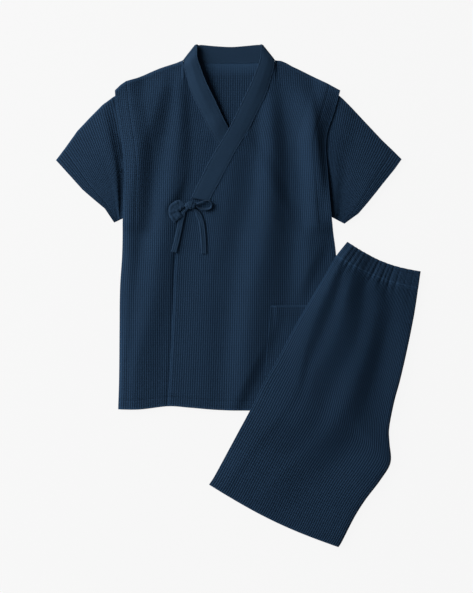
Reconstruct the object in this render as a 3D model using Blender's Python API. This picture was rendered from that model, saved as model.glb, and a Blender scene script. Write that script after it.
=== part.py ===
# A jinbei set laid flat: a tied jacket with the shorts, folded lengthwise, on its lower right corner.
# Plan sizes are millimetres. x runs across from the jacket's centre line and y runs up from its hem.
# Heights are millimetres above the surface that the set lies on. A wall is a grid of plan points with
# an underside height, so a piece that lies on another uses the same points, moved up.
import math

import bmesh
import bpy
from mathutils import Vector

MM = 0.001
PLAN_CENTRE = (19.6, 239.0)     # plan point that becomes the origin
CLOTH = 1.8                     # one layer of ribbed cotton as it lies
BAND = 2.6                      # collar band, folded double
LAYER_GAP = 0.3                 # clearance between pieces that touch
ON_BACK = CLOTH + LAYER_GAP     # underside of what lies on the back panel
ON_FRONT = 2 * ON_BACK          # underside of what lies on one front panel
BAND_STEP = BAND - CLOTH        # the band under the overlap is this much thicker than a panel
SLEEVE_HEAD = 4.9               # the flanges open by this much for the sleeve head
FLANGE = 27                     # the panels run this far out past the sleeve seam
HEM_TUCK = 2.0                  # the back panel is cut this much inside the fronts
NECK_TUCK = 5.0                 # and its neck corners lie this much below the band's turn
POCKET_CLEAR = 0.4              # clearance of the pocket from the front it is sewn to
SHORTS_LOW = ON_FRONT + 2 * CLOTH + POCKET_CLEAR + LAYER_GAP
SHORTS_CORE = 4.6               # three hidden layers of the folded shorts, pressed at the rim
GATHERS = 11                    # gathers of the elastic waist that show
WAIST_CLEAR = 1.3               # the casing lies this far over the layers inside it

NAVY = (0.0152, 0.0296, 0.0595, 1.0)
NAVY_PLAIN = (0.0130, 0.0262, 0.0500, 1.0)

# Outlines as (y, x) rows, from the hem up.
LEFT_SIDE = ((0, 233), (67, 231), (171, 230), (255, 229), (328, 224.5), (402, 223), (459, 221.5),
             (500, 220), (553, 224), (607, 232), (634, 236), (664, 239), (680, 240))
RIGHT_SIDE = ((0, 237), (110, 233), (220, 230), (325, 225), (381, 218), (440, 212), (500, 207),
              (558, 203.5), (588, 208), (611, 216), (644, 226), (671, 233.5), (680, 236))
FRONT_EDGE = ((0, -128.8), (100, -123), (200, -118), (325, -111.5), (424, -97), (760, -50))
LAP_EDGE = ((0, -128.8), (200, -118), (325, -111.5), (424, -97), (445, -79), (500, -53), (545, -27.5),
            (600, 5), (640, 40), (760, 120))
# Hem and shoulder lines as (x, y) rows.
HEM = ((-240, 1.3), (-188, 1.3), (-125, 8), (-83, 5), (-21, 0), (42, -1.3), (240, -1))
LEFT_SHOULDER = ((98.6, 733), (120, 726), (146, 717), (188, 698), (205, 692.5), (217, 688),
                 (227, 678), (234, 671))
RIGHT_SHOULDER = ((98.6, 733), (108, 734), (119, 730), (129, 724), (150, 714), (171, 703.5), (192, 693),
                  (213, 682.5), (228, 674), (234, 671))
SHOULDER_COLUMNS = 12           # grain columns between the neck and the shoulder tip

# The collar band, one row per section from the neck side down to the tie:
# seam x, seam y, free edge x, free edge y, rise of the free edge.
COLLAR = ((95.0, 721, 66.5, 741, 8.5), (90.0, 703, 57.5, 713, 9.5), (84.0, 681, 48.0, 689, 9.5),
          (75.4, 657, 40.0, 672, 8.5), (64.7, 636, 30.5, 653, 7.0), (54.0, 614, 19.6, 630, 5.0),
          (42.5, 591, 10.0, 610, 3.2), (28.0, 567, -3.0, 586, 0.0), (14.5, 545, -17.0, 562, 0.0),
          (2.5, 522, -31.0, 540, -0.2), (-9.5, 500, -43.5, 518, -0.6), (-21.0, 477, -54.0, 497, -0.8),
          (-32.5, 457, -66.0, 473, -0.8), (-41.6, 438, -79.0, 445, -0.8))
BACK_BAND = ((0, 729, 4, 763), (32, 729, 33, 765), (62, 730, 57, 767.3))
BACK_NECK = [(-62, 731), (-32, 730), (0, 730), (32, 730), (62, 731)]   # neck edge of the back panel
NECK_FOLD = ((97.6, 734.8, 2.2), (71.5, 767.8, 5.0))      # seam end and free end: x, y, bend radius

# The fronts' folds as crest and trough lines, from left to right. Each is (y, x, height) rows from the
# hem up, and the cloth runs smoothly from line to line and down to its side edges.
FRONT_FOLDS = (
    # crest beside the left flange
    ((21, -214, 3.0), (105, -214, 3.8), (189, -214, 3.8), (273, -212, 3.4), (357, -210, 3.2),
     (441, -206, 2.8), (525, -191, 4.4), (609, -166, 8.5), (672, -145, 6.0)),
    # trough
    ((21, -200, 3.8), (105, -200, 5.2), (189, -202, 5.2), (273, -193, 3.4), (357, -181, 1.2),
     (441, -166, 0.2), (525, -149, 0.4), (609, -130, 2.6), (672, -120, 3.4)),
    # long left crest
    ((21, -174, 4.4), (105, -174, 6.2), (189, -158, 7.2), (273, -149, 7.6), (357, -141, 7.4),
     (441, -124, 6.8), (525, -111, 5.6), (609, -103, 5.6), (672, -101, 4.6)),
    # trough by the opening
    ((21, -82, 2.4), (105, -82, 3.4), (189, -88, 3.4), (273, -94, 3.0), (357, -90, 1.6),
     (441, -76, 0.2), (525, -74, 0.0), (609, -78, 0.6), (672, -80, 1.8)),
    # low rise
    ((21, -50, 2.2), (105, -50, 3.2), (189, -46, 3.6), (273, -44, 3.4), (357, -23, 3.0),
     (441, -6, 3.6), (525, 6, 3.6), (609, 23, 2.4), (672, 44, 1.5)),
    # shallow trough
    ((21, -15, 1.2), (105, -15, 2.0), (189, -10, 2.2), (273, -2, 2.2), (357, 10, 1.4),
     (441, 32, 1.4), (525, 44, 1.4), (609, 50, 1.4), (672, 63, 1.2)),
    # middle crest
    ((21, 29, 5.4), (105, 32, 7.4), (189, 38, 8.6), (273, 48, 9.0), (357, 63, 9.0),
     (441, 74, 8.4), (525, 76, 8.0), (609, 78, 5.8), (672, 82, 3.0)),
    # middle trough
    ((21, 78, 0.2), (105, 82, 0.2), (189, 99, 0.2), (273, 120, 0.4), (357, 124, 0.0),
     (441, 120, 0.0), (525, 116, 0.0), (609, 113, 0.8), (672, 111, 2.0)),
    # right crest
    ((21, 149, 1.0), (105, 160, 1.0), (189, 174, 1.5), (273, 170, 4.2), (357, 170, 4.8),
     (441, 174, 4.8), (525, 170, 5.2), (609, 162, 7.6), (672, 153, 5.4)),
)
# The same for the shorts, as (share up the leg, share across, height over the pressed layers).
SHORTS_FOLDS = (
    ((0, 0.08, 3.6), (0.12, 0.10, 4.2), (0.25, 0.16, 4.8), (0.35, 0.20, 5.2), (0.45, 0.16, 5.8),
     (0.55, 0.13, 6.0), (0.65, 0.105, 6.0), (0.75, 0.085, 5.6), (0.86, 0.065, 3.6)),
    ((0, 0.14, 3.7), (0.12, 0.16, 4.3), (0.25, 0.22, 4.8), (0.35, 0.255, 4.8), (0.45, 0.23, 4.2),
     (0.55, 0.23, 3.4), (0.65, 0.215, 3.0), (0.75, 0.18, 3.0), (0.86, 0.15, 3.2)),
    ((0, 0.20, 3.8), (0.12, 0.22, 4.5), (0.25, 0.31, 5.0), (0.35, 0.32, 5.2), (0.45, 0.30, 5.2),
     (0.55, 0.345, 5.2), (0.65, 0.33, 5.4), (0.75, 0.28, 5.4), (0.86, 0.23, 4.2)),
    ((0, 0.27, 3.9), (0.12, 0.29, 4.6), (0.25, 0.42, 4.4), (0.35, 0.445, 3.0), (0.45, 0.455, 2.2),
     (0.55, 0.50, 1.8), (0.65, 0.505, 1.6), (0.75, 0.44, 1.4), (0.86, 0.365, 2.4)),
    ((0, 0.36, 4.0), (0.12, 0.37, 4.8), (0.25, 0.50, 5.0), (0.35, 0.555, 4.8), (0.45, 0.61, 4.8),
     (0.55, 0.64, 5.0), (0.65, 0.64, 5.0), (0.75, 0.60, 5.0), (0.86, 0.50, 4.2)),
    ((0, 0.56, 2.6), (0.12, 0.60, 1.8), (0.25, 0.69, 1.2), (0.35, 0.705, 0.8), (0.45, 0.76, 0.6),
     (0.55, 0.785, 0.6), (0.65, 0.78, 1.0), (0.75, 0.76, 1.8), (0.86, 0.65, 3.0)),
    ((0, 0.90, 3.8), (0.12, 0.905, 4.6), (0.25, 0.895, 4.8), (0.35, 0.895, 4.4), (0.45, 0.945, 4.2),
     (0.55, 0.955, 3.8), (0.65, 0.955, 3.4), (0.75, 0.90, 3.0), (0.86, 0.85, 3.0)),
)

# The shorts as rows from the hem up: outseam x, y, then inseam or rise x, y, then the sag between.
SHORTS_ROWS = ((-41.6, -157, 230, -288, 11), (-30, -139, 238, -275, 9), (-5, -93, 262.5, -227, 5),
               (25, -37, 285.6, -190, 2), (50, 10.5, 319, -146, 0), (73, 57, 339.4, -110, 0),
               (101, 105, 337, -68, 0), (117, 135, 336.6, -37, 0), (133, 165.5, 347, 17, 0),
               (150, 196, 359.5, 63, 1), (170, 230, 374, 126, 3), (190, 264, 387, 190, 6),
               (207, 293, 393, 226, 8), (224, 322.5, 397, 254, 9))
WAIST_ROWS = ((224.2, 322.9, 397.2, 254.4, 9), (236, 338, 399.6, 272, 10), (248, 352.6, 402.4, 291, 11))
SHORTS_LEFT = ((45, 1.5), (225.5, 324.5))      # the outseam where it crosses the jacket

# The pocket in the same columns, from the bottom row to the mouth.
POCKET_ROWS = ((76.5, 72, 206, 72, 0), (79, 108, 208, 107, 0), (82, 146, 209, 146, 0),
               (85.5, 183, 211, 183, 0), (88, 219, 212, 220, 0))
POCKET_MOUTH = 1.6              # the mouth stands open by this much where it shows

# Sleeve outlines as x, y from the body outwards or from top to bottom. The right one's x are mirrored.
RIGHT_SLEEVE_TOP = ((211, 678), (240, 660), (266, 641), (292, 615), (319, 586.5), (345, 550), (364, 525))
RIGHT_SLEEVE_CUFF = ((364, 525), (334, 492), (308, 463), (285, 443), (261, 423), (241.6, 394))
RIGHT_SLEEVE_UNDER = ((205, 411), (241.6, 394))
LEFT_SLEEVE_TOP = ((211, 678), (238, 655), (259, 634), (291, 600), (322, 567), (345, 545), (363, 527))
LEFT_SLEEVE_CUFF = ((363, 527), (349, 507), (323.5, 475.5), (307, 454.5), (290, 433.5), (272, 412.5),
                    (243, 391.5))
LEFT_SLEEVE_UNDER = ((205, 411), (243, 391.5))
SLEEVE_HEAD_LINE = ((211, 678), (205, 620), (202, 560), (203, 480), (205, 411))
SLEEVE_HOLLOW = 0.9
SLEEVE_PUFF = 4.0

# The tie's bow of flat strips.
TIE_WIDTH = 12.5
TIE_CLOTH = 1.8
LOOP_WIDTH = 15                 # the drooping loop, two strands pressed together
KNOT = (-81, 429.5)
KNOT_HALF = (11, 8, 4.2)        # half sizes of the knot
KNOT_GAP = 0.5


def smooth(low, high, value):
    part = min(max((value - low) / (high - low), 0.0), 1.0)
    return part * part * (3 - 2 * part)


def through(rows, at):
    # A smooth curve through (at, value) rows.
    last = len(rows) - 2
    k = 0
    while k < last and at > rows[k + 1][0]:
        k += 1
    (a0, v0), (a1, v1) = rows[k], rows[k + 1]
    before, after = rows[max(k - 1, 0)], rows[min(k + 2, last + 1)]
    span = a1 - a0
    slope0 = (v1 - before[1]) / (a1 - before[0]) * span
    slope1 = (after[1] - v0) / (after[0] - a0) * span
    t = min(max((at - a0) / span, 0.0), 1.0)
    return (v0 * (1 + 2 * t) * (1 - t) ** 2 + slope0 * t * (1 - t) ** 2
            + v1 * t * t * (3 - 2 * t) + slope1 * t * t * (t - 1))


def along(points, t):
    # The point at a share t of the length of a line of points.
    spans = [math.dist(a, b) for a, b in zip(points, points[1:])]
    left = min(max(t, 0.0), 1.0) * sum(spans)
    for a, b, span in zip(points, points[1:], spans):
        if left <= span or b is points[-1]:
            share = left / span
            return tuple(p + (q - p) * share for p, q in zip(a, b))
        left -= span


def fold_height(lines, across, level, left, right):
    # Height of the folds at a point, from the lines it lies between. left and right are the edges.
    rows = [(left, 0.0)]
    for line in lines:
        rows.append((through([(at, x) for at, x, height in line], level),
                     through([(at, height) for at, x, height in line], level)))
    rows.append((right, 0.0))
    return max(through(rows, across), 0.0)


def side_x(x, y):
    return through(LEFT_SIDE if x < 0 else RIGHT_SIDE, y)


def front_folds(x, y):
    # The folds die out towards the shoulder seam.
    if not -through(LEFT_SIDE, y) < x < through(RIGHT_SIDE, y):
        return 0.0
    height = fold_height(FRONT_FOLDS, x, y, -through(LEFT_SIDE, y), through(RIGHT_SIDE, y))
    shoulder = LEFT_SHOULDER if x < 0 else RIGHT_SHOULDER
    if abs(x) > shoulder[0][0]:
        height *= smooth(0, 55, through(shoulder, abs(x)) - y)
    return height


def sleeve_room(x, y):
    # The flange lifts off the back where the sleeve head lies between them.
    inside = side_x(x, y) - abs(x)
    return SLEEVE_HEAD * smooth(366, 392, y) * (1 - smooth(FLANGE + 2, FLANGE + 38, inside))


def right_front_low(x, y):
    # The wearer's right front, on the left of the plan. Below the tie it follows the front that laps
    # over it and flattens further in, and above the tie it is flat where the band covers it.
    if x > 0:
        return ON_BACK
    covered = x - through(LAP_EDGE, y)
    below_tie = 1 - smooth(-10, 55, covered)
    above_tie = smooth(14, 40, -covered)
    part = below_tie + (above_tie - below_tie) * smooth(392, 436, y)
    return ON_BACK + sleeve_room(x, y) + front_folds(x, y) * part


def lap_layers(x, y):
    # 1 where the other front and its band lie underneath, 0 where only the back does.
    lower = 1 - smooth(214, 232, x)
    under_edge = -through(LAP_EDGE, y)
    upper = 1 - smooth(20, 55, x - under_edge)
    part = smooth(300, 400, y)
    return lower + (upper - lower) * part


def left_front_low(x, y):
    # The wearer's left front, on the right of the plan, which laps over the other one.
    from_shorts = (x - SHORTS_LEFT[0][0]) * -0.873 + (y - SHORTS_LEFT[0][1]) * 0.487
    folds = front_folds(x, y) * smooth(10, 42, from_shorts)
    step = ON_BACK + BAND_STEP * smooth(370, 412, y)
    return ON_BACK + step * lap_layers(x, y) + (sleeve_room(x, y) if x > 0 else 0.0) + folds


def jacket_top(x, y):
    # Top of whatever shows of the jacket's fronts at a plan point.
    if x > through(LAP_EDGE, y):
        return left_front_low(x, y) + CLOTH
    return right_front_low(x, y) + CLOTH


def shorts_base(x, y):
    beyond = max(x - 238, -2 - y)
    return SHORTS_LOW * (1 - smooth(3, 42, beyond))


def shorts_fill(x, y):
    # Past the jacket's edge the layers loft, so the top slopes down more gently than the underside.
    beyond = max(x - 238, -2 - y)
    return SHORTS_LOW * (1 - smooth(3, 95, beyond)) - shorts_base(x, y)


def shorts_height(x, y, across, up):
    # Height of the folded shorts over their underside, below the top layer.
    ends = 0.45 + 0.55 * smooth(0, 0.16, up) * smooth(0, 0.10, 1 - up)
    folds = fold_height(SHORTS_FOLDS, across, up, 0.0, 1.0)
    return SHORTS_CORE + shorts_fill(x, y) + max(folds * ends, 0.2)


def material(name, colour, roughness):
    finish = bpy.data.materials.new(name)
    finish.use_nodes = True
    shader = finish.node_tree.nodes["Principled BSDF"]
    shader.inputs["Base Color"].default_value = colour
    shader.inputs["Roughness"].default_value = roughness
    shader.inputs["Metallic"].default_value = 0.0
    return finish


def place(x, y, z):
    return Vector(((x - PLAN_CENTRE[0]) * MM, (y - PLAN_CENTRE[1]) * MM, z * MM))


def finish_piece(bm, name, colour=NAVY, roughness=0.9):
    bmesh.ops.recalc_face_normals(bm, faces=bm.faces[:])
    mesh = bpy.data.meshes.new(name)
    bm.to_mesh(mesh)
    bm.free()
    mesh.materials.append(material(name, colour, roughness))
    mesh.shade_smooth()
    mesh.set_sharp_from_angle(angle=math.radians(50))
    piece = bpy.data.objects.new(name, mesh)
    collection.objects.link(piece)
    return piece


def skin(bm, grid):
    # Two triangles a cell, always on the same diagonal, so stacked skins never cross.
    for near, far in zip(grid, grid[1:]):
        for j in range(len(near) - 1):
            for corners in ((near[j], far[j], far[j + 1]), (near[j], far[j + 1], near[j + 1])):
                bm.faces.new(corners)


def rim_of(grid):
    loop = [column[0] for column in grid[:-1]]
    loop += grid[-1][:-1]
    loop += [column[-1] for column in reversed(grid[1:])]
    loop += list(reversed(grid[0][1:]))
    return loop


def band_between(bm, lower, upper):
    count = len(lower)
    for k in range(count):
        after = (k + 1) % count
        bm.faces.new((lower[k], lower[after], upper[after], upper[k]))


def wall(name, columns, low, thick=CLOTH, colour=NAVY):
    # A cloth wall over a grid of plan points. low gives the underside from x, y, i, j.
    bm = bmesh.new()
    under, over = [], []
    for i, column in enumerate(columns):
        heights = [low(x, y, i, j) for j, (x, y) in enumerate(column)]
        under.append([bm.verts.new(place(x, y, z)) for (x, y), z in zip(column, heights)])
        over.append([bm.verts.new(place(x, y, z + thick)) for (x, y), z in zip(column, heights)])
    skin(bm, under)
    skin(bm, over)
    band_between(bm, rim_of(under), rim_of(over))
    return finish_piece(bm, name, colour)


def rings(name, stations, colour=NAVY, hollow=None):
    # Closed rings joined in turn. hollow holds the matching inner rings of a tube.
    bm = bmesh.new()
    outer = [[bm.verts.new(place(*p)) for p in ring] for ring in stations]
    for near, far in zip(outer, outer[1:]):
        band_between(bm, near, far)
    if hollow:
        inner = [[bm.verts.new(place(*p)) for p in ring] for ring in hollow]
        for near, far in zip(inner, inner[1:]):
            band_between(bm, near, far)
        band_between(bm, outer[0], inner[0])
        band_between(bm, outer[-1], inner[-1])
    else:
        bm.faces.new(outer[0])
        bm.faces.new(outer[-1])
    return finish_piece(bm, name, colour)


def shoulder_points(side_table, count):
    # The shoulder line from the neck to this side's own tip.
    shoulder = LEFT_SHOULDER if side_table is LEFT_SIDE else RIGHT_SHOULDER
    (neck_x, neck_y), (tip_x, tip_y) = shoulder[0], shoulder[-1]
    own_tip = through(side_table, tip_y)
    points = []
    for k in range(count + 1):
        share = k / count
        points.append((neck_x + (own_tip - neck_x) * share,
                       through(shoulder, neck_x + (tip_x - neck_x) * share)))
    return points


def front_columns(side_table, sign, rows=15):
    # Columns follow the grain from the hem to the band's end, the neck seam or the shoulder.
    tops = [(-97, 424), (-82, 435.5), (-62, 436.5), (-43, 437)]
    tops += [(x + 0.6, y) for x, y, *rest in reversed(COLLAR)]
    tops += shoulder_points(side_table, SHOULDER_COLUMNS)
    columns = []
    for x, y in tops:
        edge = through(FRONT_EDGE, y)
        side = through(side_table, y)
        share = (x - edge) / (side - edge)
        column = []
        for j in range(rows + 1):
            part = j / rows
            level = part * y
            for _ in range(3):
                near_edge = through(FRONT_EDGE, level)
                across = near_edge + share * (through(side_table, level) - near_edge)
                level = part * y + (1 - part) * through(HEM, sign * across)
            column.append((sign * across, level))
        columns.append(column)
    return columns


def make_back():
    left, right = (shoulder_points(table, SHOULDER_COLUMNS) for table in (LEFT_SIDE, RIGHT_SIDE))
    for side in (left, right):
        side[0] = (side[0][0], side[0][1] - NECK_TUCK)
    tops = [(-x, y) for x, y in reversed(left)] + BACK_NECK + right
    columns = []
    for x, y in tops:
        side_table = LEFT_SIDE if x < 0 else RIGHT_SIDE
        share = abs(x) / through(side_table, y)
        top = y - HEM_TUCK / 2
        column = []
        for part in (0, 0.25, 0.5, 0.64, 0.72, 0.79, 0.86, 0.93, 1):
            level = HEM_TUCK + through(HEM, x) * (1 - part) + part * (top - HEM_TUCK)
            reach = share * (through(side_table, level) - HEM_TUCK)
            column.append((math.copysign(reach, x) if x else 0.0, level))
        columns.append(column)
    wall("back", columns, lambda x, y, i, j: 0.0)


def make_fronts():
    under = front_columns(LEFT_SIDE, -1)
    wall("right_front", under, lambda x, y, i, j: right_front_low(x, y))
    over = front_columns(RIGHT_SIDE, 1)
    wall("left_front", over, lambda x, y, i, j: left_front_low(x, y))


def sleeve_point(top, cuff, head, under, s, t):
    # A Coons patch: s from the head to the cuff, t from the top fold down to the underarm fold.
    lines = [along(head, t), along(cuff, t), along(top, s), along(under, s)]
    corners = (head[0], head[-1], cuff[0], cuff[-1])
    return tuple((1 - s) * lines[0][k] + s * lines[1][k] + (1 - t) * lines[2][k] + t * lines[3][k]
                 - (1 - s) * (1 - t) * corners[0][k] - (1 - s) * t * corners[1][k]
                 - s * (1 - t) * corners[2][k] - s * t * corners[3][k] for k in range(2))


def sleeve_rings(sign):
    if sign < 0:
        side_table = LEFT_SIDE
        edges = (RIGHT_SLEEVE_TOP, RIGHT_SLEEVE_CUFF, SLEEVE_HEAD_LINE, RIGHT_SLEEVE_UNDER)
    else:
        side_table = RIGHT_SIDE
        edges = (LEFT_SLEEVE_TOP, LEFT_SLEEVE_CUFF, SLEEVE_HEAD_LINE, LEFT_SLEEVE_UNDER)
    patch = lambda s, t: sleeve_point(*edges, s, t)
    across = 9
    shares = [k / across for k in range(across + 1)]
    leave = []
    for t in shares:
        s = 0.02
        while s < 0.9 and patch(s, t)[0] < through(side_table, patch(s, t)[1]) + 5:
            s += 0.01
        leave.append(s)
    outer, inner = [], []
    for station in (0, 0.5, 1, 1.18, 1.4, 1.65, 1.85, 2):
        top, bottom, top_in, bottom_in = [], [], [], []
        for k, t in enumerate(shares):
            s = leave[k] * station if station <= 1 else leave[k] + (1 - leave[k]) * (station - 1)
            x, y = patch(s, t)
            inset = 0.012 if k == 0 else (-0.012 if k == across else 0)
            x_in, y_in = patch(s, t + inset)
            out = max(station - 1, 0)
            low = ON_BACK * (1 - smooth(0.04, 0.4, out))
            puff = SLEEVE_PUFF * math.sin(math.pi * t) ** 0.7 * smooth(0, 0.5, out)
            puff *= 1 - 0.45 * smooth(0.6, 1, out)
            gap = SLEEVE_HOLLOW + puff
            edge = 0.35 if k in (0, across) else 0.0
            bottom.append((sign * x, y, low + edge))
            bottom_in.append((sign * x_in, y_in, low + CLOTH))
            top_in.append((sign * x_in, y_in, low + CLOTH + gap))
            top.append((sign * x, y, low + 2 * CLOTH + gap - edge))
        outer.append(top + bottom[::-1])
        inner.append(top_in + bottom_in[::-1])
    return outer, inner


def make_sleeves():
    for name, sign in (("right_sleeve", -1), ("left_sleeve", 1)):
        outer, inner = sleeve_rings(sign)
        rings(name, outer, hollow=inner)


def band_section(seam, free, under_seam, under_free):
    # Six points round the band: inner face seam to free edge, then the outer face back.
    crown = 0.4 if under_free > under_seam else 0.0
    middle = [(a + b) / 2 for a, b in zip(seam, free)]
    under_mid = (under_seam + under_free) / 2
    return [(seam[0], seam[1], under_seam), (middle[0], middle[1], under_mid),
            (free[0], free[1], under_free + 0.2), (free[0], free[1], under_free + BAND - 0.2),
            (middle[0], middle[1], under_mid + BAND + crown), (seam[0], seam[1], under_seam + BAND)]


def neck_fold(sign):
    # The band turns over on the neck's slanting fold line, wider at its free edge.
    (sx, sy, seam_bend), (fx, fy, free_bend) = NECK_FOLD
    outward = Vector((sy - fy, fx - sx)).normalized()
    if outward.x < 0:
        outward = -outward
    sections = []
    for angle in (0, 35, 70, 100, 130, 155, 180):
        turn = math.radians(angle)
        ring = []
        for face, share in ((-1, 0), (-1, 0.5), (-1, 1), (1, 1), (1, 0.5), (1, 0)):
            bend = seam_bend + share * (free_bend - seam_bend)
            reach = (bend + face * BAND / 2) * math.sin(turn) - bend - BAND / 2
            x = sx + share * (fx - sx) + outward.x * reach
            y = sy + share * (fy - sy) + outward.y * reach
            z = BAND / 2 + bend - (bend + face * BAND / 2) * math.cos(turn)
            ring.append((sign * x, y, z))
        sections.append(ring)
    return sections


def make_collar():
    def front_sections(sign, low):
        sections = []
        for x, y, free_x, free_y, rise in COLLAR:
            z = low(sign * (x + 0.6), y)
            seam = (sign * x, y)
            ramp_free = z + rise
            if sign > 0 and rise <= 0 and x < 20:
                ramp_free = max(ramp_free, ON_FRONT)
            if sign < 0 and rise < 0:
                ramp_free = z
            sections.append(band_section(seam, (sign * free_x, free_y), z, ramp_free))
        return sections

    def back_sections(sign):
        sections = []
        for x, y, free_x, free_y in BACK_BAND:
            seam, free = (sign * x, y + 0.3), (sign * free_x, free_y)
            ring = band_section(seam, free, 0.0, 0.0)
            sections.append([ring[k] for k in (5, 4, 3, 2, 1, 0)])
        return sections

    left = front_sections(-1, right_front_low)
    right = front_sections(1, left_front_low)
    path = left[::-1] + neck_fold(-1)[::-1] + back_sections(-1)[:0:-1]
    path += back_sections(1) + neck_fold(1) + right
    rings("collar", path, colour=NAVY_PLAIN)


def row_grid(rows, across):
    # Columns over rows given as left x, y, right x, y, sag between them.
    columns = []
    for i in range(across + 1):
        t = i / across
        columns.append([(x0 + (x1 - x0) * t, y0 + (y1 - y0) * t - sag * math.sin(math.pi * t))
                        for x0, y0, x1, y1, sag in rows])
    return columns


def make_pocket():
    def low(x, y, i, j):
        gape = POCKET_MOUTH * smooth(150, 219, y) * smooth(90, 102, x) * (1 - smooth(118, 150, x))
        return left_front_low(x, y) + CLOTH + POCKET_CLEAR + gape
    wall("pocket", row_grid(POCKET_ROWS, 16), low, colour=NAVY_PLAIN)


def make_shorts():
    across = 24
    leg = row_grid(SHORTS_ROWS, across)
    waist = row_grid(WAIST_ROWS, across)
    length = len(SHORTS_ROWS) + len(WAIST_ROWS)
    whole = [a + b[1:] for a, b in zip(leg, waist)]

    def top_of_core(x, y, i, j):
        return shorts_base(x, y) + shorts_height(x, y, i / across, j / (length - 2))

    core = bmesh.new()
    under = [[core.verts.new(place(x, y, shorts_base(x, y))) for x, y in column] for column in whole]
    over = [[core.verts.new(place(x, y, top_of_core(x, y, i, j))) for j, (x, y) in enumerate(column)]
            for i, column in enumerate(whole)]
    skin(core, under)
    skin(core, over)
    low_rim, high_rim = rim_of(under), rim_of(over)
    count = len(low_rim)
    below = low_rim
    for share, out in ((0.16, 0.9), (0.33, -1.0), (0.5, 0.9), (0.67, -1.0), (0.84, 0.9)):
        ring = []
        for k in range(count):
            run = low_rim[(k + 1) % count].co - low_rim[k - 1].co
            outward = Vector((run.y, -run.x, 0)).normalized() * out * MM
            ring.append(core.verts.new(low_rim[k].co.lerp(high_rim[k].co, share) + outward))
        band_between(core, below, ring)
        below = ring
    band_between(core, below, high_rim)
    finish_piece(core, "shorts_inner_layers")

    def on_core(x, y, i, j):
        return top_of_core(x, y, i, j) + LAYER_GAP
    wall("shorts_leg", leg, on_core)
    make_waistband()


def make_waistband():
    # The elastic casing, gathered into waves that die out at the folded ends.
    per_gather = 4
    steps = GATHERS * per_gather
    below = len(SHORTS_ROWS) - 1
    length = below + len(WAIST_ROWS) - 1

    def low(x, y, i, j):
        t = i / steps
        wave = 0.5 - 0.5 * math.cos(2 * math.pi * i / per_gather)
        deep = 1.6 * (0.7 + 0.3 * math.sin(5.1 * t + 1)) * smooth(0, 0.05, t) * smooth(0, 0.05, 1 - t)
        inside = shorts_base(x, y) + shorts_height(x, y, t, (below + j) / length)
        return inside + WAIST_CLEAR + deep * wave
    wall("waistband", row_grid(WAIST_ROWS, steps), low, colour=NAVY_PLAIN)


def over_jacket(x, y, clear):
    # Height that clears everything within a strip's half width.
    around = [jacket_top(x + dx, y + dy) for dx in (-10, -5, 0, 5, 10) for dy in (-7, 0, 7)]
    return max(around) + clear


def knot_exit(towards, height):
    # Where a strip at this height leaves the knot for a plan point.
    way = Vector((towards[0] - KNOT[0], towards[1] - KNOT[1]))
    level = math.sqrt(1 - ((height - KNOT_HALF[2]) / KNOT_HALF[2]) ** 2)
    reach = 1 / math.hypot(way.x / (KNOT_HALF[0] * level), way.y / (KNOT_HALF[1] * level))
    start = way * reach + way.normalized() * KNOT_GAP
    return (KNOT[0] + start.x, KNOT[1] + start.y)


def strip(name, points, clear, width, start_clear, count=10):
    # A flat tie laid over the jacket, pinched where it leaves the knot.
    closest = min(max(KNOT_HALF[2], start_clear), start_clear + TIE_CLOTH)
    start = knot_exit(points[0], closest)
    points = [start] + points
    route = []
    for k in range(count):
        t = k / (count - 1)
        x, y = along(points, t)
        from_knot = smooth(0, 0.3, t)
        lift = start_clear * (1 - from_knot) + clear * from_knot
        pinch = over_jacket(*KNOT, 0) * (1 - from_knot) + over_jacket(x, y, 0) * from_knot
        route.append((x, y, pinch + lift, width * (0.45 + 0.55 * smooth(0, 0.2, t))))
    stations = []
    for k, (x, y, z, wide) in enumerate(route):
        before, after = route[max(k - 1, 0)], route[min(k + 1, count - 1)]
        run = Vector((after[0] - before[0], after[1] - before[1])).normalized()
        side = Vector((-run.y, run.x)) * wide / 2
        ring = []
        for share, height in ((-1, 0.2), (0, 0), (1, 0.2), (1, TIE_CLOTH - 0.2), (0, TIE_CLOTH),
                              (-1, TIE_CLOTH - 0.2)):
            ring.append((x + side.x * share, y + side.y * share, z + height))
        stations.append(ring)
    rings(name, stations, colour=NAVY_PLAIN)


def open_loop(name, points, low, tall, count=16):
    # A loop that stands on its edge and leans, so that its hollow shows from above.
    route = [along(points, k / (count - 1)) for k in range(count)]
    stations = []
    for k, (x, y) in enumerate(route):
        before, after = route[max(k - 1, 0)], route[min(k + 1, count - 1)]
        run = Vector((after[0] - before[0], after[1] - before[1])).normalized()
        out = Vector((-run.y, run.x)) * TIE_CLOTH / 2
        ring = []
        for share, height in ((-1, 0), (1, 0), (1, tall), (-1, tall)):
            lean = -2.5 * height / tall
            ring.append((x + out.x * share, y + out.y * share + lean, low + height))
        stations.append(ring)
    rings(name, stations, colour=NAVY_PLAIN)


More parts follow.
